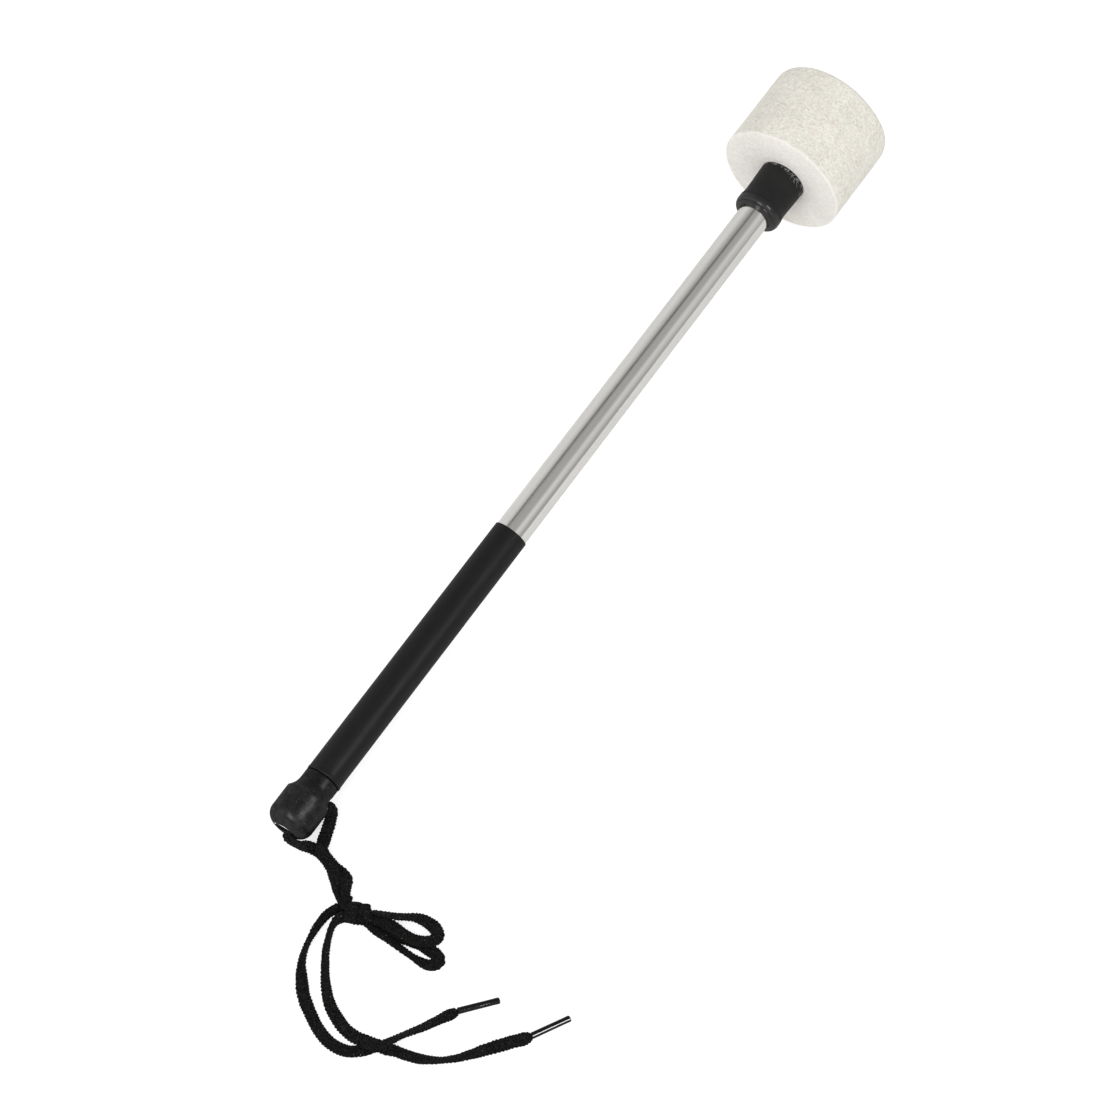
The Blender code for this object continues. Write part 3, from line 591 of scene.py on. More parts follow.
def smooth_route(points):
    """A centripetal Catmull-Rom curve through a route's points, in even rows: centres, leans and length."""
    rows = np.array(points) * ROUTE_UNITS
    rows[:, 2] = np.maximum(rows[:, 2], LEAST_LIFT)
    ends = np.vstack([2 * rows[0] - rows[1], rows, 2 * rows[-1] - rows[-2]])
    steps = np.sqrt(np.linalg.norm(np.diff(ends[:, :3], axis=0), axis=1))
    knots = np.concatenate([[0.0], np.cumsum(steps)])
    dense = []
    for i in range(1, len(rows)):
        t0, t1, t2, t3 = knots[i - 1 : i + 3]
        p0, p1, p2, p3 = ends[i - 1 : i + 3]
        t = np.linspace(t1, t2, 40, endpoint=i == len(rows) - 1)[:, None]
        a1 = (t1 - t) / (t1 - t0) * p0 + (t - t0) / (t1 - t0) * p1
        a2 = (t2 - t) / (t2 - t1) * p1 + (t - t1) / (t2 - t1) * p2
        a3 = (t3 - t) / (t3 - t2) * p2 + (t - t2) / (t3 - t2) * p3
        b1 = (t2 - t) / (t2 - t0) * a1 + (t - t0) / (t2 - t0) * a2
        b2 = (t3 - t) / (t3 - t1) * a2 + (t - t1) / (t3 - t1) * a3
        dense.append((t2 - t) / (t2 - t1) * b1 + (t - t1) / (t2 - t1) * b2)
    dense = np.vstack(dense)
    half_flat = (LACE_WIDTH - LACE_THICKNESS) / 2
    dense[:, 2] = np.maximum(dense[:, 2], 0.00003) + LACE_THICKNESS / 2
    dense[:, 2] += half_flat * np.abs(np.sin(np.radians(dense[:, 3])))
    run = run_along(dense[:, :3])
    at = np.linspace(0.0, run[-1], round(run[-1] / LACE_ROW) + 1)
    even = np.column_stack([np.interp(at, run, dense[:, k]) for k in range(4)])
    even[:, 1] += CAP_END_Y
    return even[:, :3], np.radians(even[:, 3]), run[-1]


def route_frames(centres, lean):
    """Unit directions of a route: across the lace's width and out of its flat side, turned by its lean."""
    along = unit(np.gradient(centres, axis=0))
    left = unit(np.cross([0.0, 0.0, 1.0], along))
    up = np.cross(along, left)
    across = left * np.cos(lean)[:, None] - up * np.sin(lean)[:, None]
    return across, np.cross(along, across)


def lace_section(count=24):
    """A flat woven lace's section: round edges and slightly crowned faces, as shares of half its sizes.

    Across is a blend of |cos|^0.55 and |cos|, and out is |sin|^0.62, each with its sign."""
    turn = full_turn(count)
    x, y = np.cos(turn), np.sin(turn)
    edge = LACE_THICKNESS / LACE_WIDTH
    return (1 - edge) * blunt(x, 0.55) + edge * x, blunt(y, 0.62)


def lace_mesh(name, centres, across, out, width, thickness, seed, closed=False):
    """A lace swept along its route: centre + across * half width + out * half thickness at each row.

    Each edge steps in and out with the braid's picots, a sum of short waves of its own, and so does each
    flat face. The map runs along and round the lace."""
    section_a, section_o = lace_section()
    run = run_along(centres)[:, None]

    def waves(step, count, lowest, highest):
        return lump_sum(seed + step, count, lowest, highest, fan=0.6)(run, 0 * run)

    edges = [
        1 + PICOT_DEPTH * (np.tanh(1.6 * waves(k, 16, 4200, 8600)) + 0.5 * waves(k + 2, 10, 300, 1300))
        for k in (0, 1)
    ]
    faces = [1 + FACE_DEPTH * np.tanh(1.6 * waves(k, 16, 3000, 6500)) for k in (4, 5)]
    width, thickness = (np.broadcast_to(size, (len(centres),))[:, None] for size in (width, thickness))
    half_w = (0.5 * width * section_a * np.where(section_a > 0, *edges))[..., None]
    half_t = (0.5 * thickness * section_o * np.where(section_o > 0, *faces))[..., None]
    points = centres[:, None, :] + across[:, None, :] * half_w + out[:, None, :] * half_t
    around = np.linspace(0.0, LACE_GIRTH, len(section_a), endpoint=False)[None, :]
    return grid_mesh(name, points, wrap_rows=closed, wrap_columns=True, caps=not closed, uv=(run, around))


def shoulders(run, length, from_end=0.0036, least=0.36):
    """A share of full width along a lace: quarter-round shoulders where it goes into its aglet."""
    left = np.clip((length - run) / from_end, 0.0, 1.0)
    return least + (1 - least) * np.sqrt(1 - (1 - left) ** 2)


def aglet_end(tip):
    """The centre of an aglet's tip, from its place on the table."""
    return np.array([tip[0], tip[1] + CAP_END_Y, AGLET_HEIGHT])


def lace_piece(name, stretches, aglet_tip, seed, material, *replaced):
    """One side of the lace as a single ribbon along its stretches, tucked into its aglet at the end."""
    centres, lean, length = smooth_route(np.vstack(stretches))
    across, out = route_frames(centres, lean)
    run = np.linspace(0.0, length, len(centres))
    thickness = LACE_THICKNESS * (1 + 0.35 * np.clip(1 - (length - run) / 0.0035, 0, 1))
    to_tip = aglet_end(aglet_tip) - centres[-1]
    steps, extra = np.linspace(0.2, 1.0, TUCKED_ROWS)[:, None], (0, TUCKED_ROWS)
    tucked = centres[-1] + to_tip / np.linalg.norm(to_tip) * 0.003 * steps
    mesh = lace_mesh(
        name,
        np.vstack([centres, tucked]),
        np.pad(across, [extra, (0, 0)], mode="edge"),
        np.pad(out, [extra, (0, 0)], mode="edge"),
        LACE_WIDTH * np.pad(shoulders(run, length), extra, mode="constant", constant_values=0.4),
        np.pad(thickness, extra, mode="edge"),
        seed,
    )
    return add_piece(mesh, material, *replaced, slot="lace"), centres, length


def table_frame(first, last):
    """Unit directions of a level line: along it, to its left and up."""
    line = (last - first) / np.linalg.norm(last - first)
    return line, np.array([-line[1], line[0], 0.0]), np.array([0.0, 0.0, 1.0])


def knot_frame(ends):
    """A knot's two ends on the table, and the directions of its line."""
    first, last = (np.array([x, y + CAP_END_Y, 0.0]) for x, y in ends)
    return (first, last, *table_frame(first, last))


def knot_wrap(name, material, *replaced, share, slew, half_width, half_height, seed):
    """A turn of lace pulled round the bow knot: a full ellipse about the knot's line, slewed along it.

    At angle a it stands half_width * |cos a|^0.8 to the left, half_height * |sin a|^0.8 up and slew * cos a
    along, each with its sign."""
    first, last, line, left, up = knot_frame(BOW_KNOT_ENDS)
    angle = full_turn(120)[:, None]
    x, y = np.cos(angle), np.sin(angle)
    flat_w, flat_h = half_width - LACE_THICKNESS / 2, half_height - LACE_THICKNESS / 2
    centres = (
        first
        + (last - first) * share
        + up * (half_height + FIT)
        + left * flat_w * blunt(x, 0.8)
        + up * flat_h * blunt(y, 0.8)
        + line * slew * x
    )
    along = unit(np.roll(centres, -1, axis=0) - np.roll(centres, 1, axis=0))
    out = unit(np.cross(line, along))
    mesh = lace_mesh(
        name, centres, np.cross(along, out), out, LACE_WIDTH, LACE_THICKNESS, seed, closed=True,
    )
    return add_piece(mesh, material, *replaced, slot="lace")


def knot_core(name, ends, material, half_width, half_height, lift):
    """The strands pressed together inside a knot: a lumpy egg about the knot's line.

    At tilt t and angle a it reaches cos t ^ 0.45 of its half sizes, with lumps as a sine of 3 a + 4 t."""
    first, last, _, left, up = knot_frame(ends)
    end_tilt = 0.5 * math.pi - 0.08
    tilt = np.linspace(-end_tilt, end_tilt, 28)[:, None, None]
    angle = full_turn(48)[None, :, None]
    reach = np.cos(tilt) ** 0.45 * (1 + 0.05 * np.sin(3 * angle + 4 * tilt))
    middle = first + (last - first) * (0.5 + 0.5 * np.sin(tilt)) + up * lift
    points = middle + reach * (left * half_width * np.cos(angle) + up * half_height * np.sin(angle))
    run, around = 0.004 * np.sin(tilt[..., 0]), LACE_GIRTH * angle[..., 0] / (2 * math.pi)
    mesh = grid_mesh(name, points, wrap_columns=True, caps=True, uv=(run, around))
    return add_piece(mesh, material, slot="lace")


def make_aglet(name, start, tip, material, *replaced):
    """A rolled tip: a tube with a turned-in mouth, a seam groove along it and a pressed end.

    Its radius along it is a slight taper with a bead at the mouth and a quarter-round end, less the seam's
    depth, a narrow bell curve about one angle, and less the lapped film's step beside it."""
    first, last = np.array([start[0], start[1], AGLET_HEIGHT]), aglet_end(tip)
    length = np.linalg.norm(last - first)
    line, left, up = table_frame(first, last)
    share = np.concatenate([np.linspace(0, 0.03, 7), np.linspace(0.05, 0.94, 60), np.linspace(0.95, 1, 12)])
    rise = 1 - (1 - np.clip(share / 0.02, 0, 1)) ** 2
    fall = np.sqrt(np.clip(1 - (np.clip(share - 0.955, 0, 1) / 0.0455) ** 2, 0, 1))
    taper = 0.97 - 0.05 * share + 0.03 * bell(share, 0.025, 0.012)
    radius = AGLET_RADIUS * taper * (0.72 + 0.28 * rise) * (0.35 + 0.65 * fall)
    angle = full_turn(72)
    past_seam = np.degrees(angle) - AGLET_SEAM
    step = np.where((past_seam > 0) & (past_seam < 70), 0.018, 0.0)
    r = radius[:, None] * (1 - 0.05 * bell(past_seam, 0, 6) - step)[None, :]
    spread = 1 + 0.10 * np.clip((share - 0.85) / 0.15, 0, 1)[:, None]
    points = (
        first
        + line * (length * share)[:, None, None]
        + left * (r * spread * np.cos(angle))[..., None]
        + up * (r / spread * np.sin(angle))[..., None]
    )
    run, around = (length * share)[:, None], AGLET_RADIUS * angle
    mesh = grid_mesh(name, points, wrap_columns=True, caps=True, uv=(run, around))
    mesh.set_sharp_from_angle(angle=math.radians(60))
    return add_piece(mesh, material, *replaced, slot="aglet")


class Signal:
    """A number that runs through a material's nodes: sums, products and powers of it add Math nodes."""

    def __init__(self, tree, socket):
        self.tree, self.socket = tree, socket

    def through(self, operation, *values):
        node = self.tree.nodes.new("ShaderNodeMath")
        node.operation = operation
        for slot, value in zip(node.inputs, values):
            if isinstance(value, Signal):
                self.tree.links.new(value.socket, slot)
            else:
                slot.default_value = value
        return Signal(self.tree, node.outputs[0])

    def __add__(self, other):
        return self.through("ADD", self, other)

    def __sub__(self, other):
        return self.through("SUBTRACT", self, other)

    def __rsub__(self, other):
        return self.through("SUBTRACT", other, self)

    def __mul__(self, other):
        return self.through("MULTIPLY", self, other)

    def __truediv__(self, other):
        return self.through("DIVIDE", self, other)

    def __rtruediv__(self, other):
        return self.through("DIVIDE", other, self)

    def __pow__(self, other):
        return self.through("POWER", self, other)

    def __rpow__(self, other):
        return self.through("POWER", other, self)

    def __abs__(self):
        return self.through("ABSOLUTE", self)

    __radd__ = __add__
    __rmul__ = __mul__

    def sine(self):
        return self.through("SINE", self)

    def fraction(self):
        return self.through("FRACT", self)

    def whole(self):
        return self.through("FLOOR", self)

    def limit(self):
        return self.through("MINIMUM", self.through("MAXIMUM", self, 0.0), 1.0)

    def above(self, level, softness):
        """Zero under a level and one over it, with a straight ramp of a softness on either side."""
        return ((self - (level - softness)) / (2 * softness)).limit()


class Wiring:
    """A node tree, with one method that adds any node."""

    def __init__(self, tree):
        self.tree = tree

    def node(self, kind, settings=None, output=0, sockets=None):
        """A node of a kind, with its settings made first and then its sockets' values or links."""
        made = self.tree.nodes.new("ShaderNode" + kind)
        for key, value in (settings or {}).items():
            if key == "stops":
                elements = made.color_ramp.elements
                for place, level in value[1:-1]:
                    elements.new(place)
                for element, (place, level) in zip(elements, value):
                    element.position, element.color = place, (level, level, level, 1.0)
            else:
                setattr(made, key, value)
        for key, value in (sockets or {}).items():
            if isinstance(value, Signal):
                self.tree.links.new(value.socket, made.inputs[key])
            else:
                made.inputs[key].default_value = value
        return Signal(self.tree, made.outputs[output])

    def parts(self, vector):
        """A vector's x, y and z."""
        made = self.node("SeparateXYZ", sockets={0: vector}).socket.node
        return [Signal(self.tree, out) for out in made.outputs]

    def end_with(self, signal, output):
        self.tree.links.new(signal.socket, self.tree.nodes[output].inputs["Surface"])


class Finish(Wiring):
    """A material with one Principled shader and its pattern's coordinates."""

    def __init__(self, name, **settings):
        self.material = bpy.data.materials.new(name)
        self.material.use_nodes = True
        super().__init__(self.material.node_tree)
        self.shader = self.tree.nodes["Principled BSDF"]
        for key, value in settings.items():
            self.shader.inputs[key.replace("_", " ")].default_value = value

    def place(self, uv=False):
        return self.node("TexCoord", output="UV" if uv else "Object")

    def edge_on(self):
        """Zero where the surface faces the eye, and one where it's seen edge on."""
        return self.node("LayerWeight", output="Facing", sockets={"Blend": 0.5})

    def stretched(self, vector, scale, turn=(0, 0, 0)):
        return self.node("Mapping", sockets={"Vector": vector, "Rotation": turn, "Scale": scale})

    def noise(self, vector, scale, detail, roughness, distortion=0.0):
        sizes = {"Scale": scale, "Detail": detail, "Roughness": roughness, "Distortion": distortion}
        return self.node("TexNoise", sockets={"Vector": vector, **sizes})

    def blend(self, share, first, second):
        """A colour between two colours, each a link or three numbers."""
        first, second = (c if isinstance(c, Signal) else (*c, 1.0) for c in (first, second))
        return self.node("Mix", {"data_type": "RGBA"}, 2, {0: share, 6: first, 7: second})

    def feed(self, name, signal):
        self.tree.links.new(signal.socket, self.shader.inputs[name])

    def relief(self, height, distance, strength):
        return self.node("Bump", sockets={"Height": height, "Distance": distance, "Strength": strength})


def grey(level, warm=0.0):
    """A display level from 0 to 255 as a linear colour, a little warmer or cooler."""
    linear = (level / 255 / 12.92) if level < 11 else ((level / 255 + 0.055) / 1.055) ** 2.4
    return (linear * (1 + warm), linear, linear * (1 - warm))


def felt_finish():
    """Off-white pressed felt: fibres combed round the head and others across them, and pink clouds.

    The near and far faces are whiter than the wall; the near face's edge less so, as painted shade."""
    felt = Finish(
        "pressed_wool_felt", Roughness=0.95, Sheen_Weight=0.25, Sheen_Roughness=0.5, Specular_IOR_Level=0.15,
    )
    spot = felt.place()
    clouds = felt.noise(spot, 110, 3, 0.6)
    blush = felt.noise(spot, 190, 2, 0.5).above(0.57, 0.06)
    combed = felt.noise(felt.stretched(spot, (0.45, 1, 0.45)), 1600, 3, 0.55, 0.7)
    crossing = felt.noise(felt.stretched(spot, (1, 0.4, 1), (0.7, 0.4, 1.1)), 1300, 3, 0.55, 0.9)
    specks = felt.noise(spot, 2400, 2, 0.6)
    grain = combed * 0.55 + crossing * 0.25 + specks * 0.2
    tone = ((grain - 0.5) * 3.2 + (clouds - 0.5) * 0.5 + 0.62).limit()
    wall = felt.blend(blush * 0.45, felt.blend(tone, *FELT_WALL), felt.blend(tone, *FELT_BLUSH))
    x, y, z = felt.parts(spot)
    station = (y - CAP_END_Y) * math.cos(TILT) + (z - AXIS_HEIGHT) * math.sin(TILT)
    rise = (z - AXIS_HEIGHT) * math.cos(TILT) - (y - CAP_END_Y) * math.sin(TILT)
    # Painted shade: the near face's edge takes part of the darker wall colour, to dim the light on its
    # rounding
    painted_rim_shade = ((x * x + rise * rise) ** 0.5).above(HEAD_RADIUS - 0.0003, 0.0004)
    near = (1 - station.above(HEAD_START + 0.0012, 0.0004)) * (1 - painted_rim_shade * 0.4)
    far = station.above(HEAD_END - 0.0012, 0.001)
    felt.feed("Base Color", felt.blend((near + far).limit(), wall, felt.blend(tone, *FELT_FACE)))
    felt.feed("Normal", felt.relief(grain, 0.0004, 0.9))
    return felt.material


def rubber_finish(name, level, roughness, polish, specks):
    """Moulded black rubber, faintly bloomed and pitted: the finish, its coordinates and its colour."""
    rubber = Finish(name, Roughness=roughness, Coat_Roughness=polish, Specular_IOR_Level=0.07)
    spot = rubber.place()
    drift = rubber.noise(spot, 160, 3, 0.6)
    pits = rubber.noise(spot, 2600, 3, 0.65)
    dust = rubber.noise(spot, 1500, 2, 0.5).above(0.72, 0.03)
    colour = rubber.blend(dust, rubber.blend(drift, grey(level - 3), grey(level + 3)), grey(specks))
    rubber.feed("Roughness", roughness + (drift - 0.5) * 0.2 + (pits - 0.5) * 0.10)
    rubber.feed("Normal", rubber.relief(pits + drift * 0.6, 0.00006, 0.35))
    return rubber, spot, colour


def cap_finish():
    """The cap's rubber: a patchy gloss, duller past the bulb, and a painted highlight at the end hole.

    It is a pale line of colour along the left of the end hole's upper lip, standing in for a glint."""
    rubber, spot, colour = rubber_finish(
        "moulded_black_rubber", level=8, roughness=0.68, polish=0.34, specks=80,
    )
    x, y, z = rubber.parts(spot)
    patches = (rubber.noise(spot, 420, 3, 0.6) - 0.5) * 2.6 + 1.0
    dulled = 1 - (y - (CAP_END_Y + CAP_BULB_END)).above(0.0, 0.0006) * 0.3
    rubber.feed("Coat Weight", patches * 0.5875 * dulled * (1 - rubber.edge_on()))
    # Painted highlight: a pale line of colour along the end hole's pressed upper lip, in place of its glint
    lip = z - AXIS_HEIGHT + x * x * 90 - LACE_HOLE_RADIUS * (1 - HOLE_PRESSED)
    line = 1 - abs(lip - 0.00014).above(0.00028, 0.00014)
    ends = (1 - (x - 0.0014).above(0.0, 0.0010)) * (x + 0.0044).above(0.0, 0.0004)
    scuff_and_painted_highlight = line * ends * (1 - (y - CAP_END_Y).above(0.0008, 0.0004))
    rubber.feed("Base Color", rubber.blend(scuff_and_painted_highlight, colour, grey(245)))
    return rubber.material


def collar_finish():
    """The ferrule's rubber, polished along its rolled lip."""
    rubber, spot, colour = rubber_finish(
        "collar_black_rubber", level=30, roughness=0.66, polish=0.13, specks=19,
    )
    lip = 1 - (rubber.parts(spot)[1] - CAP_END_Y).above(FERRULE_START + 0.0024, 0.0008)
    rubber.feed("Base Color", colour)
    rubber.feed("Coat Weight", 0.13 + lip * 0.5)
    return rubber.material


def aluminium_finish():
    """Satin drawn aluminium: fine lines along the tube, broad faint ones and a few slanting scratches."""
    metal = Finish("satin_drawn_aluminium", Roughness=0.3, Metallic=1.0)
    spot = metal.place()
    lines = metal.noise(metal.stretched(spot, (1, 0.012, 1)), 5200, 4, 0.65)
    wide = metal.noise(metal.stretched(spot, (1, 0.05, 1)), 700, 3, 0.6)
    scratch = metal.noise(metal.stretched(spot, (1, 0.03, 1), (0, 0, 0.05)), 1600, 2, 0.5).above(0.70, 0.02)
    metal.feed("Base Color", metal.blend(wide, *DRAWN_ALUMINIUM))
    metal.feed("Roughness", 0.12 + (lines - 0.5) * 0.08 + (wide - 0.5) * 0.05 + scratch * 0.05)
    metal.feed("Normal", metal.relief(lines + scratch * 0.3, 0.00003, 0.25))
    return metal.material


def sleeve_finish():
    """Charcoal shrink tube: smooth, faintly lustrous, with fine lengthwise drag lines and small scuffs."""
    sleeve = Finish("charcoal_shrink_tube", Roughness=0.6, Coat_Roughness=0.40, Specular_IOR_Level=0.12)
    spot = sleeve.place()
    drag = sleeve.noise(sleeve.stretched(spot, (1, 0.05, 1)), 1500, 3, 0.6)
    skin = sleeve.noise(spot, 2600, 3, 0.65)
    scuff_and_painted_highlight = sleeve.noise(sleeve.stretched(spot, (1, 0.35, 1), (0, 0, 0.6)), 420, 4, 0.7).above(0.66, 0.06)
    sleeve.feed("Base Color", sleeve.blend(drag * 0.7 + scuff_and_painted_highlight * 0.4, grey(8), grey(19)))
    sleeve.feed("Coat Weight", (0.25 + (drag - 0.5) * 0.25) * (1 - sleeve.edge_on() ** 5))
    sleeve.feed("Roughness", 0.68 + (drag - 0.5) * 0.18 + (skin - 0.5) * 0.14 + scuff_and_painted_highlight * 0.12)
    sleeve.feed("Normal", sleeve.relief(skin * 0.5 + drag, 0.00005, 0.35))
    return sleeve.material


def lace_finish():
    """Braided black polyester: herringbone stitches in columns along the lace, fuzz and lint specks.

    A stitch is a sine along the lace, slanted to both sides of its column, half a stitch off in the next."""
    lace = Finish(
        "braided_black_lace", Roughness=0.9, Sheen_Weight=0.02, Sheen_Roughness=0.4, Specular_IOR_Level=0.06,
    )
    run, around, _ = lace.parts(lace.place(uv=True))
    column = around * (1 / BRAID_COLUMN)
    pair = (column * 0.5).fraction() * 2 - 1
    slant = abs((column.fraction() - 0.5) * 2) * 0.5
    stitch = (run * (1 / BRAID_STITCH) + slant + pair.whole() * 0.5) * (2 * math.pi)
    rib = stitch.sine() * 0.5 + 0.5
    weave = rib * (1 - abs(column.fraction() * 2 - 1)) ** 0.5
    spot = lace.place()
    fuzz = lace.noise(spot, 1700, 3, 0.7)
    lint = lace.noise(spot, 1300, 2, 0.4).above(0.775, 0.012)
    tone = lace.blend((weave * 0.35 + (fuzz - 0.5) * 3.4 + 0.22).limit(), grey(2), grey(40, 0.03))
    lace.feed("Base Color", lace.blend(lint, tone, LINT))
    lace.feed("Roughness", 0.85 + (fuzz - 0.5) * 0.3)
    lace.feed("Normal", lace.relief(weave + fuzz * 0.6, 0.00020, 1.0))
    return lace.material


def aglet_finish(name, painted_highlight_amount, width):
    """Black rolled plastic film: glossy, with a painted highlight: a bright line along the film's lapped edge.
    """
    film = Finish(name, Roughness=0.28, Specular_IOR_Level=0.2)
    around = film.parts(film.place(uv=True))[1]
    spot = film.place()
    waves = film.noise(spot, 700, 2, 0.5)
    marks = film.noise(spot, 1500, 3, 0.6)
    # Painted highlight: a near-white line of colour along the film's lapped edge, broken by noise, for its
    # glint
    edge = 1 - abs(around - AGLET_RADIUS * math.radians(AGLET_SEAM)).above(width, 0.000025)
    painted_seam_highlight = edge * (marks + film.noise(spot, 130, 1, 0.5) * 1.4).above(1.2 - painted_highlight_amount, 0.10)
    film.feed("Base Color", film.blend(painted_seam_highlight, film.blend(waves, grey(5), grey(14)), grey(248)))
    film.feed("Roughness", 0.25 + (marks - 0.5) * 0.16)
    film.feed("Normal", film.relief(waves, 0.0001, 0.3))
    return film.material


def steel_finish(name, tones, roughness):
    """Plated or blackened steel: fine turning marks, speckled wear and a little tarnish."""
    steel = Finish(name, Metallic=1.0, Roughness=roughness)
    spot = steel.place()
    turning = steel.noise(steel.stretched(spot, (1, 6, 1)), 900, 3, 0.6)
    tarnish = steel.noise(spot, 380, 4, 0.65)
    steel.feed("Base Color", steel.blend(tarnish, *tones))
    steel.feed("Roughness", roughness + (turning - 0.5) * 0.2 + (tarnish - 0.5) * 0.2)
    steel.feed("Normal", steel.relief(turning, 0.00004, 0.4))
    return steel.material


def plug_finish():
    """Turned hardwood plug: bands of growth and a fine open grain along it."""
    wood = Finish("turned_beech", Roughness=0.6)
    spot = wood.place()
    grain = wood.noise(wood.stretched(spot, (1, 0.08, 1)), 900, 4, 0.6)
    rings = (wood.noise(spot, 120, 2, 0.5) * 26).sine() * 0.5 + 0.5
    wood.feed("Base Color", wood.blend(grain * 0.6 + rings * 0.4, *BEECH))
    wood.feed("Roughness", 0.55 + (grain - 0.5) * 0.3)
    wood.feed("Normal", wood.relief(grain, 0.00006, 0.4))
    return wood.material


def dress_node(name, material):
    """Gives a CAD node that stays in view its procedural material."""
    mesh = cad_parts[name].data
    mesh.materials.clear()
    mesh.materials.append(material)


def make_camera():
    """The photograph's view: from above and to the right, with a long lens."""
    right, up = Vector(CAMERA_RIGHT), Vector(CAMERA_UP)
    data = bpy.data.cameras.new("studio_camera")
    data.sensor_fit, data.sensor_width, data.lens = "HORIZONTAL", 36.0, CAMERA_LENS
    data.clip_end = 20.0
    camera = add_object("studio_camera", data)
    turn = Matrix((right, up, right.cross(up))).transposed()
    x, y, z = CAMERA_PLACE
    camera.matrix_world = Matrix.Translation((x, CAP_END_Y + y, z)) @ turn.to_4x4()
    bpy.context.scene.camera = camera


def make_lamp(name, place, size, power):
    """A rectangular soft box that faces the mallet."""
    data = bpy.data.lights.new(name, "AREA")
    data.shape, data.size, data.size_y = "RECTANGLE", size[0], size[1]
    data.energy = power
    facing = (Vector(LAMPS_AIM) - Vector(place)).to_track_quat("-Z", "Y")
    add_object(name, data).matrix_world = Matrix.Translation(place) @ facing.to_matrix().to_4x4()


def make_stage():
    """A white sweep: it takes the shadows, shows the camera a clean white and shiny surfaces a dimmer one."""
    floor = Finish(
        "white_sweep", Roughness=0.9, Base_Color=(0.84, 0.84, 0.84, 1.0), Specular_IOR_Level=0.0,
    )
    glow = floor.node("Emission", sockets={"Color": (1.0, 1.0, 1.0, 1.0), "Strength": 1.5})
    shade = floor.node("Emission", sockets={"Color": (0.0, 0.0, 0.0, 1.0)})
    to_camera = floor.node("LightPath", output="Is Camera Ray")
    to_gloss = floor.node("LightPath", output="Is Glossy Ray")
    surface = Signal(floor.tree, floor.shader.outputs[0])
    seen = floor.node("MixShader", sockets={0: to_camera * 0.48, 1: surface, 2: glow})
    mixed = floor.node("MixShader", sockets={0: to_gloss * 0.16, 1: seen, 2: shade})
    floor.end_with(mixed, "Material Output")
    side = SWEEP_HALF_SIDE
    mesh = bpy.data.meshes.new("white_sweep")
    corners = [(-side, -side, 0), (side, -side, 0), (side, side, 0), (-side, side, 0)]
    mesh.from_pydata(corners, [], [(0, 1, 2, 3)])
    mesh.materials.append(floor.material)
    add_object("white_sweep", mesh)


def make_world():
    """A pale studio tent: level bands that run overhead from left to right, and white behind the object.

    A dark seam crosses it, and its front is bright, but less so where shiny surfaces see it straight on."""
    world = bpy.data.worlds.new("studio")
    bpy.context.scene.world = world
    world.use_nodes = True
    room = Wiring(world.node_tree)
    right, along, _ = room.parts(room.node("TexCoord", output="Generated"))
    across = right * 0.5 + 0.5
    bands = room.node("ValToRGB", {"stops": ROOM_PANELS}, sockets={0: across})
    seam = 1 - abs(across - along * 1.56 + 0.249).above(0.045, 0.02)
    toward = 0 - along
    straight_on = room.node("LightPath", output="Is Glossy Ray") * toward.above(0.79, 0.05)
    front = toward.above(0.15, 0.35) * (1 - straight_on * 0.8) + along.above(0.80, 0.12) * 0.6
    light = bands * (1 - seam * 0.75) + front * (FRONT_LIGHT / ROOM_LIGHT)
    tent = room.node("Background", sockets={"Color": light, "Strength": ROOM_LIGHT})
    white = room.node("Background", sockets={"Color": (1.0, 1.0, 1.0, 1.0), "Strength": 1.0})
    to_camera = room.node("LightPath", output="Is Camera Ray")
    room.end_with(room.node("MixShader", sockets={0: to_camera, 1: tent, 2: white}), "World Output")


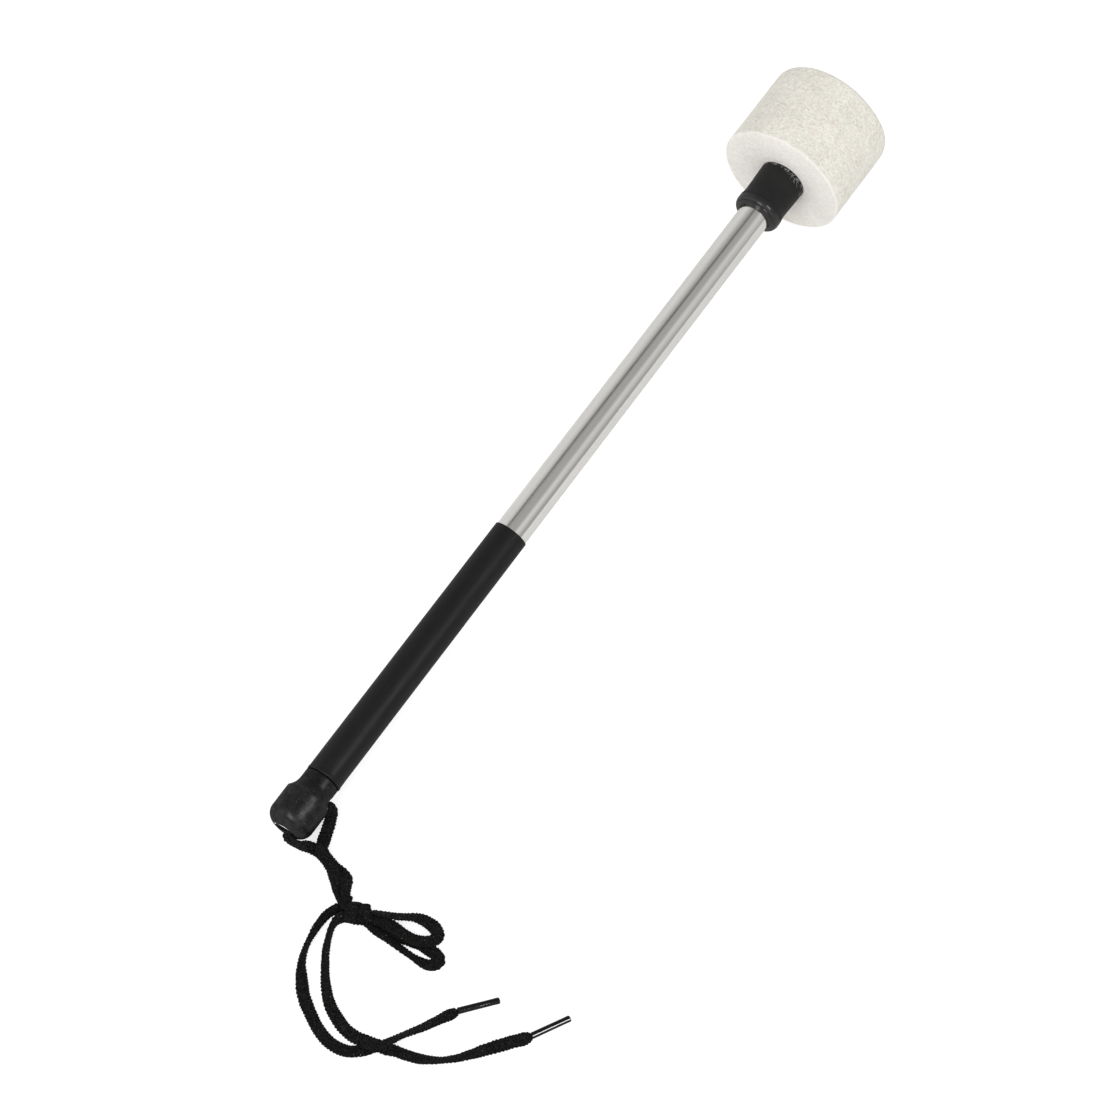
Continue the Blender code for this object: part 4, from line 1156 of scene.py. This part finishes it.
def main():
    make_camera()
    lace = lace_finish()
    side_lace, side_path, side_length = lace_piece(
        "lace_from_side_hole", (SIDE_STRAND, UPPER_LOOP, OUTER_TAIL), OUTER_AGLET_TIP, SIDE_LACE_SEED,
        lace, "lace_side_strand", "bow_loop_upper", "tail_outer", "half_knot",
    )
    end_lace, end_path, end_length = lace_piece(
        "lace_from_end_hole", (IN_CAP, END_STRAND, LOWER_LOOP, INNER_TAIL), INNER_AGLET_TIP, END_LACE_SEED,
        lace, "lace_in_cap", "lace_end_strand", "bow_loop_lower", "tail_inner",
    )
    wrap_one = knot_wrap(
        "bow_knot_first_turn", lace, "bow_knot",
        share=0.30, slew=0.0007, half_width=0.0037, half_height=0.0027, seed=FIRST_TURN_SEED,
    )
    wrap_two = knot_wrap(
        "bow_knot_second_turn", lace,
        share=0.80, slew=-0.0008, half_width=0.0034, half_height=0.0024, seed=SECOND_TURN_SEED,
    )
    core = knot_core(
        "bow_knot_core", BOW_KNOT_ENDS, lace, half_width=0.0029, half_height=0.0021, lift=0.0026,
    )
    pinch = knot_core(
        "half_knot_pinch", PINCH_ENDS, lace, half_width=0.0010, half_height=0.0009, lift=0.0022,
    )
    # The aglets' bright seam lines are painted highlights: mostly broken on the outer one, mostly whole on the
    # inner
    outer_film = aglet_finish("rolled_film_outer", painted_highlight_amount=-0.22, width=0.000050)
    inner_film = aglet_finish("rolled_film_inner", painted_highlight_amount=0.70, width=0.000110)
    outer_aglet = make_aglet("outer_aglet_tip", side_path[-1], OUTER_AGLET_TIP, outer_film, "aglet_outer")
    inner_aglet = make_aglet("inner_aglet_tip", end_path[-1], INNER_AGLET_TIP, inner_film, "aglet_inner")
    make_cap(cap_finish())
    make_shaft(aluminium_finish())
    make_grip(sleeve_finish())
    make_ferrule(collar_finish())
    felt = felt_finish()
    make_felt_head(felt)
    make_felt_fibres(felt)
    make_stray_hairs(felt)
    dress_node("head_washer", steel_finish("zinc_plated_washer", ZINC_PLATE, roughness=0.32))
    dress_node("head_screw", steel_finish("blackened_screw", BLACKENED_STEEL, roughness=0.38))
    dress_node("head_plug", plug_finish())

    make_stage()
    make_world()
    make_lamp("front_soft_box", place=(0.0, -0.92, 0.93), size=(0.46, 0.80), power=5.5)
    make_lamp("right_soft_box", place=(0.86, 0.05, 0.88), size=(0.28, 0.46), power=3.8)

    scene = bpy.context.scene
    scene.view_settings.view_transform = "Standard"


main()
